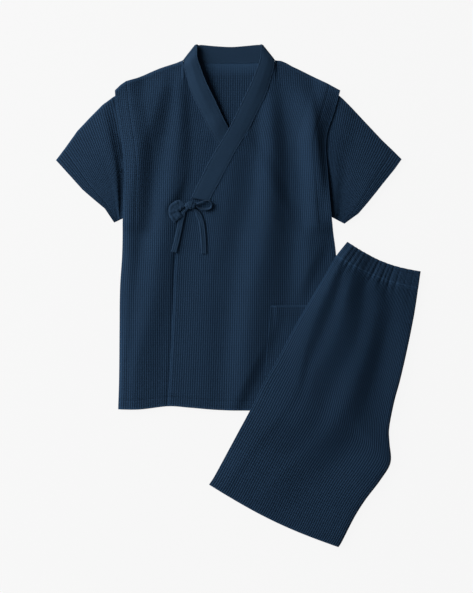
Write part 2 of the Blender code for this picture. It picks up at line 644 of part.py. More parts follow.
def make_tie():
    # Two tails and two loops come out of one knot over the band's end.
    knot_low = over_jacket(*KNOT, 0)
    bm = bmesh.new()
    bmesh.ops.create_uvsphere(bm, u_segments=16, v_segments=8, radius=1.0)
    for vert in bm.verts:
        x, y, z = vert.co
        vert.co = place(KNOT[0] + KNOT_HALF[0] * x, KNOT[1] + KNOT_HALF[1] * y,
                        knot_low + KNOT_HALF[2] * (1 + z) + LAYER_GAP)
    finish_piece(bm, "tie_knot", NAVY_PLAIN)
    strip("tie_tail_left", [(-96, 414), (-104, 380), (-110, 352), (-115.5, 331)], 0.8, TIE_WIDTH, 1.2)
    strip("tie_tail_right", [(-66, 414), (-58, 396), (-54, 365), (-52.5, 328)], 0.8, TIE_WIDTH, 1.2)
    strip("tie_loop_left", [(-100, 430), (-113, 427), (-121, 420), (-122, 408), (-113, 397)], 3.6,
          LOOP_WIDTH, 4.4)
    near = knot_exit((-55, 433), KNOT_HALF[2])
    loop = [(near[0], near[1] + 1.4), (-60, 436.5), (-50, 440), (-40, 438.5), (-36, 432), (-40, 426),
            (-50, 424), (-60, 425.5), (near[0], near[1] - 1.6)]
    open_loop("tie_loop_right", loop, knot_low + 1.6, 6.5)


for existing in list(bpy.data.objects):
    bpy.data.objects.remove(existing)
collection = bpy.data.collections.new("jinbei_set")
bpy.context.scene.collection.children.link(collection)
make_back()
make_fronts()
make_sleeves()
make_collar()
make_pocket()
make_shorts()
make_tie()
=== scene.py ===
# Looks of a jinbei set laid flat: ribbed navy cloth, a smooth collar band and ties, tonal stitching.
# Plan sizes are millimetres as in the part's source: x from the jacket's centre line, y from its hem.
import math

import bpy
import numpy as np
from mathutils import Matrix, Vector


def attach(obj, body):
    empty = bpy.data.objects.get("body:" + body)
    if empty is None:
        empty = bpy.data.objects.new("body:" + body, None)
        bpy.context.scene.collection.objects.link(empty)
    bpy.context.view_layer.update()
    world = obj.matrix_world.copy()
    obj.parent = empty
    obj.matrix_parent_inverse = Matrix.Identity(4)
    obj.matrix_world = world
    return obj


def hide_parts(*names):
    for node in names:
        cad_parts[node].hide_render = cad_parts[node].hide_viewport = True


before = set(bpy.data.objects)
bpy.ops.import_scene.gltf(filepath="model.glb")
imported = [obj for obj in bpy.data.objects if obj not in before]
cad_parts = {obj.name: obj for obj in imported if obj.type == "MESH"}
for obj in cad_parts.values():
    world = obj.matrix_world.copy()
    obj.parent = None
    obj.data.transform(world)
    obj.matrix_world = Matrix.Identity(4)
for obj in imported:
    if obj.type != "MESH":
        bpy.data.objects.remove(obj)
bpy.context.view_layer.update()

planCentre = (19.6, 239.0)      # plan point that is the frame's origin
cloth = 1.8                     # one layer of ribbed cotton
band = 2.6                      # collar band, folded double
layerGap = 0.3
onBack = cloth + layerGap
onFront = 2 * onBack
rib = {"pitch": 4.6, "depth": 0.6, "steps": 4}


def smooth(low, high, value):
    part = np.clip((np.asarray(value, float) - low) / (high - low), 0, 1)
    return part * part * (3 - 2 * part)


def through(rows, at):
    # A smooth curve through (at, value) rows, for one value or an array.
    table = np.array(rows, float)
    a, v = table[:, 0], table[:, 1]
    at = np.asarray(at, float)
    k = np.clip(np.searchsorted(a, at, side="left") - 1, 0, len(a) - 2)
    before, after = np.maximum(k - 1, 0), np.minimum(k + 2, len(a) - 1)
    span = a[k + 1] - a[k]
    slope0 = (v[k + 1] - v[before]) / (a[k + 1] - a[before]) * span
    slope1 = (v[after] - v[k]) / (a[after] - a[k]) * span
    t = np.clip((at - a[k]) / span, 0, 1)
    return (v[k] * (1 + 2 * t) * (1 - t) ** 2 + slope0 * t * (1 - t) ** 2
            + v[k + 1] * t * t * (3 - 2 * t) + slope1 * t * t * (t - 1))


def along(points, t):
    # Points at shares t of the length of a line of points.
    line = np.array(points, float)
    run = np.concatenate([[0], np.cumsum(np.linalg.norm(np.diff(line, axis=0), axis=1))])
    at = np.clip(t, 0, 1) * run[-1]
    return np.stack([np.interp(at, run, line[:, k]) for k in range(line.shape[1])], axis=-1)


def place(points):
    # Plan millimetres with a height to metres in the frame.
    p = np.asarray(points, float)
    return (p - np.array([planCentre[0], planCentre[1], 0.0])) * 0.001


# Camera, floor and light

studio = {"eye": (-0.00385, -0.00065, 2.948), "lens": 85, "floor": (0.03, 0.03, 0.03),
          "lamps": {"key": {"way": (-0.82, 0.36, 0.40), "far": 4.2, "size": 3.4, "power": 318},
                    "kicker": {"way": (-0.45, -0.70, 0.50), "far": 3.0, "size": 2.0, "power": 15}},
          "fill": 0.076, "floorGlow": 0.905}


def makeStudio():
    eye = bpy.data.cameras.new("eye")
    eye.sensor_fit = "VERTICAL"
    eye.sensor_height = 36
    eye.lens = studio["lens"]
    eye.clip_end = 50
    camera = bpy.data.objects.new("eye", eye)
    camera.location = studio["eye"]
    bpy.context.scene.collection.objects.link(camera)
    bpy.context.scene.camera = camera

    for name, form in studio["lamps"].items():
        light = bpy.data.lights.new(name, "AREA")
        light.shape = "DISK"
        light.size = form["size"]
        light.energy = form["power"]
        lamp = bpy.data.objects.new(name, light)
        way = Vector(form["way"]).normalized()
        lamp.location = way * form["far"]
        lamp.rotation_euler = way.to_track_quat("Z", "Y").to_euler()
        bpy.context.scene.collection.objects.link(lamp)

    world = bpy.data.worlds.new("studio")
    bpy.context.scene.world = world
    world.use_nodes = True
    air = world.node_tree.nodes["Background"]
    air.inputs["Color"].default_value = (1, 1, 1, 1)
    air.inputs["Strength"].default_value = studio["fill"]

    mesh = bpy.data.meshes.new("floor")
    reach = 6.0
    low = -0.0004
    mesh.from_pydata([(-reach, -reach, low), (reach, -reach, low), (reach, reach, low),
                      (-reach, reach, low)], [], [(0, 1, 2, 3)])
    floor = bpy.data.objects.new("floor", mesh)
    bpy.context.scene.collection.objects.link(floor)
    paper = bpy.data.materials.new("palePaper")
    paper.use_nodes = True
    shader = paper.node_tree.nodes["Principled BSDF"]
    shader.inputs["Base Color"].default_value = (*studio["floor"], 1)
    shader.inputs["Roughness"].default_value = 1.0
    shader.inputs["Specular IOR Level"].default_value = 0.0
    shader.inputs["Emission Color"].default_value = (1, 1, 1, 1)
    shader.inputs["Emission Strength"].default_value = studio["floorGlow"]
    mesh.materials.append(paper)
    bpy.context.scene.view_settings.view_transform = "Standard"


makeStudio()
print("studio ready")


# Cloth materials

# In each finish, groove and the cross darkening are painted shade: how far the colour darkens in the grooves
# between ribs and across them.
finishes = {
    "ribbedNavy": {"colour": (0.0110, 0.0325, 0.0700, 1), "pale": (0.0175, 0.0455, 0.0930, 1),
                   "rough": 0.88, "weave": 1.3, "groove": 0.50, "cross": 5.1, "crossShade": 0.13,
                   "crossDepth": 0.25, "bump": 0.35},
    "smoothNavy": {"colour": (0.0092, 0.0258, 0.0530, 1), "pale": (0.0140, 0.0355, 0.0715, 1),
                   "rough": 0.85, "weave": 0.8, "groove": 0.0, "cross": 0.0, "crossShade": 0.0,
                   "crossDepth": 0.0, "bump": 0.4},
}


class Wiring:
    # Short ways to add and join shader nodes.
    def __init__(self, tree):
        self.tree = tree

    def node(self, kind, **values):
        made = self.tree.nodes.new(kind)
        for name, value in values.items():
            setattr(made, name, value)
        return made

    def join(self, source, target):
        self.tree.links.new(source, target)

    def math(self, operation, first, second=None):
        made = self.node("ShaderNodeMath", operation=operation)
        for socket, value in zip(made.inputs, (first, second)):
            if value is None:
                continue
            if isinstance(value, (int, float)):
                socket.default_value = value
            else:
                self.join(value, socket)
        return made.outputs[0]


def makeCloth(name):
    look = finishes[name]
    finish = bpy.data.materials.new(name)
    finish.use_nodes = True
    w = Wiring(finish.node_tree)
    shader = finish.node_tree.nodes["Principled BSDF"]
    shader.inputs["Roughness"].default_value = look["rough"]
    shader.inputs["Specular IOR Level"].default_value = 0.1
    shader.inputs["Sheen Weight"].default_value = 0.02
    shader.inputs["Sheen Roughness"].default_value = 0.5
    grain = w.node("ShaderNodeUVMap", uv_map="cloth").outputs[0]
    parts = w.node("ShaderNodeSeparateXYZ")
    w.join(grain, parts.inputs[0])
    across, length = parts.outputs[0], parts.outputs[1]

    def threads(coordinate, pitch):
        turn = w.math("MULTIPLY", coordinate, 2000 * math.pi / pitch)
        return w.math("SINE", turn)

    weave = w.math("MULTIPLY", threads(across, look["weave"]), threads(length, look["weave"]))
    body = w.node("ShaderNodeTexCoord").outputs["Object"]
    cloud = w.node("ShaderNodeTexNoise")
    cloud.inputs["Scale"].default_value = 22
    cloud.inputs["Detail"].default_value = 6
    w.join(body, cloud.inputs["Vector"])
    slub = w.node("ShaderNodeTexNoise")
    slub.inputs["Scale"].default_value = 420
    slub.inputs["Detail"].default_value = 3
    w.join(body, slub.inputs["Vector"])
    # Worn edges are paler, unevenly.
    worn = w.node("ShaderNodeAttribute", attribute_name="edgeWear").outputs["Fac"]
    tint = w.math("ADD", w.math("MULTIPLY", cloud.outputs[0], 0.45),
                  w.math("MULTIPLY", slub.outputs[0], 0.4))
    tint = w.math("ADD", tint, w.math("MULTIPLY", w.math("MULTIPLY", worn, slub.outputs[0]), 0.9))
    ramp = w.node("ShaderNodeMix", data_type="RGBA")
    ramp.inputs["A"].default_value = look["colour"]
    ramp.inputs["B"].default_value = look["pale"]
    w.join(tint, ramp.inputs["Factor"])
    colour = ramp.outputs["Result"]
    height = w.math("MULTIPLY", weave, 0.2)
    if look["cross"]:
        # Painted shade: the colour darkens in the grooves between ribs, and less in the weaker ones across
        # them.
        count = w.node("ShaderNodeAttribute", attribute_name="ribCount").outputs["Fac"]
        wave = w.math("COSINE", w.math("MULTIPLY", count, 2 * math.pi))
        deep = w.math("POWER", w.math("MULTIPLY", w.math("SUBTRACT", 1.0, wave), 0.5), 1.5)
        ripple = threads(length, look["cross"])
        across = w.math("POWER", w.math("MULTIPLY", w.math("SUBTRACT", 1.0, ripple), 0.5), 2.0)
        grooveShade = w.math("ADD", w.math("MULTIPLY", deep, look["groove"]),
                      w.math("MULTIPLY", across, look["crossShade"]))
        grooveShade = w.math("MULTIPLY", grooveShade, w.math("SUBTRACT", 1.0, w.math("MULTIPLY", worn, 0.85)))
        shade = w.node("ShaderNodeVectorMath", operation="SCALE")
        w.join(colour, shade.inputs[0])
        w.join(w.math("SUBTRACT", 1.0, grooveShade), shade.inputs["Scale"])
        colour = shade.outputs[0]
        height = w.math("ADD", height, w.math("MULTIPLY", ripple, look["crossDepth"]))
    height = w.math("ADD", height, w.math("MULTIPLY", slub.outputs[0], 0.5))
    w.join(colour, shader.inputs["Base Color"])
    bump = w.node("ShaderNodeBump")
    bump.inputs["Strength"].default_value = look["bump"]
    bump.inputs["Distance"].default_value = 0.0003
    w.join(height, bump.inputs["Height"])
    w.join(bump.outputs[0], shader.inputs["Normal"])
    return finish


ribbedNavy = makeCloth("ribbedNavy")
smoothNavy = makeCloth("smoothNavy")
threadNavy = bpy.data.materials.new("threadNavy")
threadNavy.use_nodes = True


def finishThread():
    w = Wiring(threadNavy.node_tree)
    shader = threadNavy.node_tree.nodes["Principled BSDF"]
    shader.inputs["Roughness"].default_value = 0.85
    shader.inputs["Specular IOR Level"].default_value = 0.1
    spot = w.node("ShaderNodeTexNoise")
    spot.inputs["Scale"].default_value = 900
    w.join(w.node("ShaderNodeTexCoord").outputs["Object"], spot.inputs["Vector"])
    ramp = w.node("ShaderNodeMix", data_type="RGBA")
    ramp.inputs["A"].default_value = (0.0085, 0.021, 0.044, 1)
    ramp.inputs["B"].default_value = (0.0125, 0.030, 0.060, 1)
    w.join(spot.outputs[0], ramp.inputs["Factor"])
    w.join(ramp.outputs["Result"], shader.inputs["Base Color"])


finishThread()
print("cloth and thread finishes ready")


# Geometry Nodes for the ribs and the stitches

def newTree(name, inputs):
    tree = bpy.data.node_groups.new(name, "GeometryNodeTree")
    tree.interface.new_socket("Geometry", in_out="INPUT", socket_type="NodeSocketGeometry")
    for label, kind, value in inputs:
        socket = tree.interface.new_socket(label, in_out="INPUT", socket_type=kind)
        if value is not None:
            socket.default_value = value
    tree.interface.new_socket("Geometry", in_out="OUTPUT", socket_type="NodeSocketGeometry")
    return tree


def makeRibTree():
    # Cuts grooves between ribs into a cloth's outer skin. ribCount counts ribs across the cloth.
    tree = newTree("ribbedCloth", [("Depth", "NodeSocketFloat", rib["depth"] * 0.001),
                                   ("Finish", "NodeSocketMaterial", None)])
    w = Wiring(tree)
    start = w.node("NodeGroupInput")
    end = w.node("NodeGroupOutput")
    count = w.node("GeometryNodeInputNamedAttribute", data_type="FLOAT")
    count.inputs["Name"].default_value = "ribCount"
    outer = w.node("GeometryNodeInputNamedAttribute", data_type="FLOAT")
    outer.inputs["Name"].default_value = "outerSkin"
    wave = w.math("COSINE", w.math("MULTIPLY", count.outputs[0], 2 * math.pi))
    groove = w.math("MULTIPLY", w.math("SUBTRACT", wave, 1.0), 0.5)
    groove = w.math("MULTIPLY", w.math("MULTIPLY", groove, start.outputs["Depth"]), outer.outputs[0])
    out = w.node("ShaderNodeVectorMath", operation="SCALE")
    w.join(w.node("GeometryNodeInputNormal").outputs[0], out.inputs[0])
    w.join(groove, out.inputs["Scale"])
    move = w.node("GeometryNodeSetPosition")
    w.join(start.outputs["Geometry"], move.inputs["Geometry"])
    w.join(out.outputs[0], move.inputs["Offset"])
    real = w.node("GeometryNodeRealizeInstances")
    w.join(move.outputs[0], real.inputs[0])
    dress = w.node("GeometryNodeSetMaterial")
    w.join(real.outputs[0], dress.inputs["Geometry"])
    w.join(start.outputs["Finish"], dress.inputs["Material"])
    w.join(dress.outputs[0], end.inputs[0])
    return tree


def makeStitchTree():
    # Lays short sunken stitches end to end along curves.
    tree = newTree("stitchRun", [("Pitch", "NodeSocketFloat", 0.0032),
                                 ("Length", "NodeSocketFloat", 0.0024),
                                 ("Width", "NodeSocketFloat", 0.0006),
                                 ("Finish", "NodeSocketMaterial", None)])
    w = Wiring(tree)
    start = w.node("NodeGroupInput")
    end = w.node("NodeGroupOutput")
    points = w.node("GeometryNodeCurveToPoints", mode="LENGTH")
    w.join(start.outputs["Geometry"], points.inputs["Curve"])
    w.join(start.outputs["Pitch"], points.inputs["Length"])
    ball = w.node("GeometryNodeMeshIcoSphere")
    ball.inputs["Radius"].default_value = 0.5
    ball.inputs["Subdivisions"].default_value = 1
    size = w.node("ShaderNodeCombineXYZ")
    w.join(start.outputs["Width"], size.inputs[0])
    w.join(start.outputs["Width"], size.inputs[1])
    w.join(start.outputs["Length"], size.inputs[2])
    copies = w.node("GeometryNodeInstanceOnPoints")
    w.join(points.outputs["Points"], copies.inputs["Points"])
    w.join(ball.outputs["Mesh"], copies.inputs["Instance"])
    w.join(points.outputs["Rotation"], copies.inputs["Rotation"])
    w.join(size.outputs[0], copies.inputs["Scale"])
    real = w.node("GeometryNodeRealizeInstances")
    w.join(copies.outputs[0], real.inputs[0])
    dress = w.node("GeometryNodeSetMaterial")
    w.join(real.outputs[0], dress.inputs["Geometry"])
    w.join(start.outputs["Finish"], dress.inputs["Material"])
    w.join(dress.outputs[0], end.inputs[0])
    return tree


ribTree = makeRibTree()
stitchTree = makeStitchTree()


def throughTree(source, tree, name, **values):
    # Runs a source object through a tree and keeps the result as a plain mesh at the origin.
    bpy.context.scene.collection.objects.link(source)
    step = source.modifiers.new("nodes", "NODES")
    step.node_group = tree
    for item in tree.interface.items_tree:
        if item.in_out == "INPUT" and item.name in values:
            step[item.identifier] = values[item.name]
    bpy.context.view_layer.update()
    seen = source.evaluated_get(bpy.context.evaluated_depsgraph_get())
    mesh = bpy.data.meshes.new_from_object(seen)
    mesh.name = name
    bpy.data.objects.remove(source)
    piece = bpy.data.objects.new(name, mesh)
    bpy.context.scene.collection.objects.link(piece)
    mesh.shade_smooth()
    return piece


def rawMesh(name, points, faces, marks=None, grain=None):
    # points in plan millimetres. marks are point attributes and grain the cloth's own map.
    mesh = bpy.data.meshes.new(name)
    mesh.from_pydata(place(points).tolist(), [], [tuple(int(k) for k in f) for f in faces])
    mesh.update()
    for label, values in (marks or {}).items():
        layer = mesh.attributes.new(label, "FLOAT", "POINT")
        layer.data.foreach_set("value", np.asarray(values, np.float32))
    if grain is not None:
        corners = np.zeros(len(mesh.loops), np.int32)
        mesh.loops.foreach_get("vertex_index", corners)
        layer = mesh.uv_layers.new(name="cloth")
        layer.data.foreach_set("uv", (np.asarray(grain)[corners] * 0.001).astype(np.float32).ravel())
    return mesh


def grids(count, across, down, flip=False):
    # Quads of a grid of points numbered row by row from count on.
    index = count + np.arange(across * down).reshape(across, down)
    quads = np.stack([index[:-1, :-1], index[1:, :-1], index[1:, 1:], index[:-1, 1:]], axis=-1)
    quads = quads.reshape(-1, 4)
    return quads[:, ::-1] if flip else quads


def rimOrder(across, down):
    # Grid indices once round the rim, anticlockwise for a grid that faces up.
    index = np.arange(across * down).reshape(across, down)
    return np.concatenate([index[:-1, 0], index[-1, :-1], index[:0:-1, -1], index[0, :0:-1]])


def ribbon(rings):
    # Quads between closed rings of equal length, given as index arrays from low to high.
    faces = []
    for lower, upper in zip(rings, rings[1:]):
        faces.append(np.stack([lower, np.roll(lower, -1), np.roll(upper, -1), upper], axis=-1))
    return np.concatenate(faces)


def tube(count, size, flip=False):
    # Faces of a tube of rings with both ends closed.
    ids = np.arange(count * size).reshape(count, size)
    sides, first, last = ribbon(list(ids)), ids[0][::-1], ids[-1]
    if flip:
        sides, first, last = sides[:, ::-1], first[::-1], last[::-1]
    return list(sides) + [first, last]


def outwards(points, order):
    # Unit steps out of a rim, in plan.
    run = points[np.roll(order, -1), :2] - points[np.roll(order, 1), :2]
    out = np.stack([run[:, 1], -run[:, 0]], axis=-1)
    return out / np.maximum(np.linalg.norm(out, axis=1), 1e-9)[:, None]


def edgeWear(plan, reach=2.6):
    # 1 on the rim of a grid, fading out over a few millimetres.
    away = np.full(plan.shape[:2], np.inf)
    for axis in (0, 1):
        gaps = np.linalg.norm(np.diff(plan, axis=axis), axis=-1)
        zero = np.zeros_like(np.take(gaps, [0], axis=axis))
        run = np.concatenate([zero, np.cumsum(gaps, axis=axis)], axis=axis)
        away = np.minimum(away, np.minimum(run, np.take(run, [-1], axis=axis) - run))
    return np.exp(-(away / reach) ** 2)


def shell(name, plan, low, thick, ribs, grain, edge=0.3):
    # A cloth wall: plan is (across, down, 2), low its underside, ribs the rib count at each column.
    across, down = low.shape
    if np.cross(plan[1, 0] - plan[0, 0], plan[0, 1] - plan[0, 0]) < 0:
        plan, low, thick, ribs, grain = plan[::-1], low[::-1], thick[::-1], ribs[::-1], grain[::-1]
    top = np.dstack([plan, low + thick]).reshape(-1, 3)
    bottom = np.dstack([plan, low]).reshape(-1, 3)
    order = rimOrder(across, down)
    out = outwards(top, order)
    rims = []
    for share, reach in ((0.14, 0.7), (0.5, 1.0), (0.86, 0.7)):
        ring = bottom[order] * (1 - share) + top[order] * share
        ring[:, :2] += out * edge * reach
        rims.append(ring)
    count = across * down
    points = np.concatenate([top, bottom] + rims)
    size = len(order)
    ids = [order + count] + [2 * count + k * size + np.arange(size) for k in range(3)] + [order]
    faces = np.concatenate([grids(0, across, down), grids(count, across, down, flip=True),
                            ribbon(ids)])
    outer = np.ones(count)
    outer[order] = 0
    grainFlat = grain.reshape(-1, 2)
    worn = edgeWear(plan).ravel()
    marks = {"ribCount": np.concatenate([ribs.ravel(), ribs.ravel()] + [ribs.ravel()[order]] * 3),
             "outerSkin": np.concatenate([outer, np.zeros(count + 3 * size)]),
             "edgeWear": np.concatenate([worn, worn, np.ones(3 * size)])}
    cut = np.concatenate([grainFlat, grainFlat] + [grainFlat[order]] * 3)
    return rawMesh(name, points, faces, marks, cut)


def ribbedPiece(name, mesh, finish=None, depth=None):
    source = bpy.data.objects.new(name + "Source", mesh)
    return throughTree(source, ribTree, name, Depth=(rib["depth"] if depth is None else depth) * 0.001,
                       Finish=finish or ribbedNavy)


def plainPiece(name, mesh, finish):
    mesh.name = name
    mesh.materials.append(finish)
    mesh.shade_smooth()
    piece = bpy.data.objects.new(name, mesh)
    bpy.context.scene.collection.objects.link(piece)
    return piece


def settle(piece, slot, *nodes):
    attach(piece, "root")
    if nodes:
        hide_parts(*nodes)
    return piece


# Outlines and folds, as in the part's source

leftSide = ((0, 233), (67, 231), (171, 230), (255, 229), (328, 224.5), (402, 223), (459, 221.5),
            (500, 220), (553, 224), (607, 232), (634, 236), (664, 239), (680, 240))
rightSide = ((0, 237), (110, 233), (220, 230), (325, 225), (381, 218), (440, 212), (500, 207),
             (558, 203.5), (588, 208), (611, 216), (644, 226), (671, 233.5), (680, 236))
frontEdge = ((0, -128.8), (100, -123), (200, -118), (325, -111.5), (424, -97), (760, -50))
lapEdge = ((0, -128.8), (200, -118), (325, -111.5), (424, -97), (445, -79), (500, -53), (545, -27.5),
           (600, 5), (640, 40), (760, 120))
hem = ((-240, 1.3), (-188, 1.3), (-125, 8), (-83, 5), (-21, 0), (42, -1.3), (240, -1))
leftShoulder = ((98.2, 733.4), (120, 726), (146, 717), (188, 698), (205, 692.5), (217, 688), (227, 678),
                (234, 671))
rightShoulder = ((98.2, 733.4), (108, 734), (119, 730), (129, 724), (150, 714), (171, 703.5), (192, 693),
                 (213, 682.5), (228, 674), (234, 671))
# seam x, y, free edge x, y, rise of the free edge
collarRows = ((95.0, 721, 66.5, 741, 8.5), (90.0, 703, 57.5, 713, 9.5), (84.0, 681, 48.0, 689, 9.5),
              (75.4, 657, 40.0, 672, 8.5), (64.7, 636, 30.5, 653, 7.0), (54.0, 614, 19.6, 630, 5.0),
              (42.5, 591, 10.0, 610, 3.2), (28.0, 567, -3.0, 586, 0.0), (14.5, 545, -17.0, 562, 0.0),
              (2.5, 522, -31.0, 540, -0.2), (-9.5, 500, -43.5, 518, -0.6),
              (-21.0, 477, -54.0, 497, -0.8), (-32.5, 457, -66.0, 473, -0.8),
              (-41.6, 438, -79.0, 445, -0.8))
bandEnd = ((-97, 424), (-82, 435.5), (-62, 436.5), (-43, 437))
flange = 27

# The fronts' folds as crest and trough lines, from left to right, each as (y, x, height) rows.
frontFolds = (
    # crest beside the left flange
    ((21, -224, 3.0), (105, -222, 3.6), (189, -217, 3.6), (273, -212, 3.4), (357, -210, 3.2),
     (441, -206, 2.8), (525, -191, 4.4), (609, -166, 8.5), (672, -145, 6.0)),
    # trough
    ((21, -215, 3.8), (105, -212, 4.6), (189, -203, 4.6), (273, -193, 3.4), (357, -181, 1.2),
     (441, -166, 0.2), (525, -149, 0.4), (609, -130, 2.6), (672, -120, 3.4)),
    # long left crest
    ((21, -198, 5.2), (105, -190, 7.0), (189, -170, 7.8), (273, -153, 7.8), (357, -141, 7.4),
     (441, -124, 6.8), (525, -111, 5.6), (609, -103, 5.6), (672, -101, 4.6)),
    # trough by the opening
    ((21, -132, 2.2), (105, -134, 2.4), (189, -122, 2.6), (273, -106, 2.6), (357, -93, 1.6),
     (441, -76, 0.2), (525, -74, 0.0), (609, -78, 0.6), (672, -80, 1.8)),
    # low rise
    ((21, -50, 2.2), (105, -50, 3.2), (189, -46, 3.6), (273, -44, 3.4), (357, -23, 3.0),
     (441, -6, 3.6), (525, 6, 3.6), (609, 23, 2.4), (672, 44, 1.5)),
    # shallow trough
    ((21, -12, 1.2), (105, -10, 2.0), (189, -2, 2.2), (273, 8, 2.2), (357, 22, 1.4),
     (441, 42, 1.4), (525, 54, 1.4), (609, 60, 1.4), (672, 67, 1.2)),
    # middle crest
    ((21, 33, 5.4), (105, 38, 7.6), (189, 47, 8.8), (273, 60, 9.2), (357, 77, 9.4),
     (441, 87, 9.0), (525, 89, 8.6), (609, 89, 6.2), (672, 86, 3.2)),
    # middle trough
    ((21, 84, 0.2), (105, 98, 0.2), (189, 116, 0.2), (273, 128, 0.2), (357, 132, 0.0),
     (441, 130, 0.0), (525, 127, 0.0), (609, 120, 0.6), (672, 113, 1.8)),
    # right crest
    ((21, 149, 1.0), (105, 160, 1.0), (189, 174, 1.5), (273, 170, 4.2), (357, 170, 4.8),
     (441, 180, 4.8), (525, 178, 5.4), (609, 171, 7.6), (672, 159, 5.4)),
)


def foldHeight(lines, across, level, left, right):
    # The cloth runs smoothly from line to line and down to its edges.
    across, level, left, right = np.broadcast_arrays(across, level, left, right)
    spots, heights = [left], [left * 0.0]
    for line in lines:
        spots.append(through([(at, x) for at, x, height in line], level))
        heights.append(through([(at, height) for at, x, height in line], level))
    spots, heights = np.stack(spots + [right]), np.stack(heights + [right * 0.0])
    k = (across[None] > spots[1:-1]).sum(axis=0)

    def pick(values, index):
        return np.take_along_axis(values, index[None], axis=0)[0]

    before, after = np.maximum(k - 1, 0), np.minimum(k + 2, len(spots) - 1)
    a0, a1, v0, v1 = pick(spots, k), pick(spots, k + 1), pick(heights, k), pick(heights, k + 1)
    span = a1 - a0
    slope0 = (v1 - pick(heights, before)) / (a1 - pick(spots, before)) * span
    slope1 = (pick(heights, after) - v0) / (pick(spots, after) - a0) * span
    t = np.clip((across - a0) / span, 0, 1)
    curve = (v0 * (1 + 2 * t) * (1 - t) ** 2 + slope0 * t * (1 - t) ** 2
             + v1 * t * t * (3 - 2 * t) + slope1 * t * t * (t - 1))
    return np.maximum(curve, 0)


def sideX(x, y):
    return np.where(x < 0, through(leftSide, y), through(rightSide, y))


def foldsOfFronts(x, y):
    # They die out towards the shoulder seam.
    left, right = -through(leftSide, y), through(rightSide, y)
    height = foldHeight(frontFolds, x, y, left, right)
    height = np.where((x > left) & (x < right), height, 0)
    away = np.abs(x)
    top = np.where(x < 0, through(leftShoulder, away), through(rightShoulder, away))
    return np.where(away > leftShoulder[0][0], height * smooth(0, 55, top - y), height)


def sleeveRoom(x, y):
    # The flange lifts off the back where the sleeve head lies between them.
    inside = sideX(x, y) - np.abs(x)
    return 4.9 * smooth(366, 392, y) * (1 - smooth(flange + 2, flange + 38, inside))


flangeCrest = ((420, 194), (500, 190), (546, 185), (600, 178), (650, 170), (690, 163))


def pressedEdge(x, y):
    # The front's edge lies flat on the layer below, in a shallow valley.
    return np.exp(-((x - through(frontEdge, y)) / 5) ** 2) * (1 - smooth(395, 425, y))


def flangeLift(x, y):
    # Above the underarm the left flange stands off its sleeve. Higher up the body falls to the flange.
    inside = through(rightSide, y) - x
    stand = 5.0 * smooth(372, 420, y) * (1 - smooth(440, 540, y)) * np.exp(-(inside / 15) ** 2)
    beyond = x - through(flangeCrest, y)
    crest = 4.2 * smooth(425, 500, y) * (1 - smooth(625, 690, y))
    return stand + crest * np.exp(-(beyond / np.where(beyond > 0, 11, 26)) ** 2)


def rightFrontLow(x, y):
    covered = x - through(lapEdge, y)
    belowTie = 1 - smooth(-10, 55, covered)
    aboveTie = smooth(14, 40, -covered)
    part = belowTie + (aboveTie - belowTie) * smooth(392, 436, y)
    folds = foldsOfFronts(x, y) * part * (1 - 0.42 * pressedEdge(x, y))
    return onBack + np.where(x > 0, 0.0, sleeveRoom(x, y) + folds)


def lapLayers(x, y):
    lower = 1 - smooth(214, 232, x)
    upper = 1 - smooth(20, 55, x + through(lapEdge, y))
    return lower + (upper - lower) * smooth(300, 400, y)


def leftFrontLow(x, y):
    fromShorts = (x - 45) * -0.873 + (y - 1.5) * 0.487
    folds = foldsOfFronts(x, y) * smooth(10, 42, fromShorts) * (1 - 0.25 * pressedEdge(x, y))
    folds = folds + flangeLift(x, y)
    step = onBack + (band - cloth) * smooth(370, 412, y)
    return onBack + step * lapLayers(x, y) + np.where(x > 0, sleeveRoom(x, y), 0.0) + folds


def jacketTop(x, y):
    return cloth + np.where(x > through(lapEdge, y), leftFrontLow(x, y), rightFrontLow(x, y))


def groove(away, width=2.2):
    # A line of stitching pulls the cloth down along it.
    return np.exp(-(away / width) ** 2)


# Back and fronts

def shoulderLine(sideTable, count):
    shoulder = leftShoulder if sideTable is leftSide else rightShoulder
    neckX = shoulder[0][0]
    tipX, tipY = shoulder[-1]
    share = np.linspace(0, 1, count + 1)
    own = float(through(sideTable, tipY))
    return np.stack([neckX + (own - neckX) * share,
                     through(shoulder, neckX + (tipX - neckX) * share)], axis=-1)


panels = {"frontRibs": 76, "backRibs": 104, "rowGap": 8.5, "hemLine": 20, "stitchDip": 0.45,
          "shoulderSteps": 12, "neckCorner": (96.6, 732.6), "neckReach": (-0.3, 1.3), "backReach": 0.9,
          "hemRows": (0, 1.5, 5, 9, 13, 16, 18, 19.5, 20.5, 22, 24, 28, 34)}


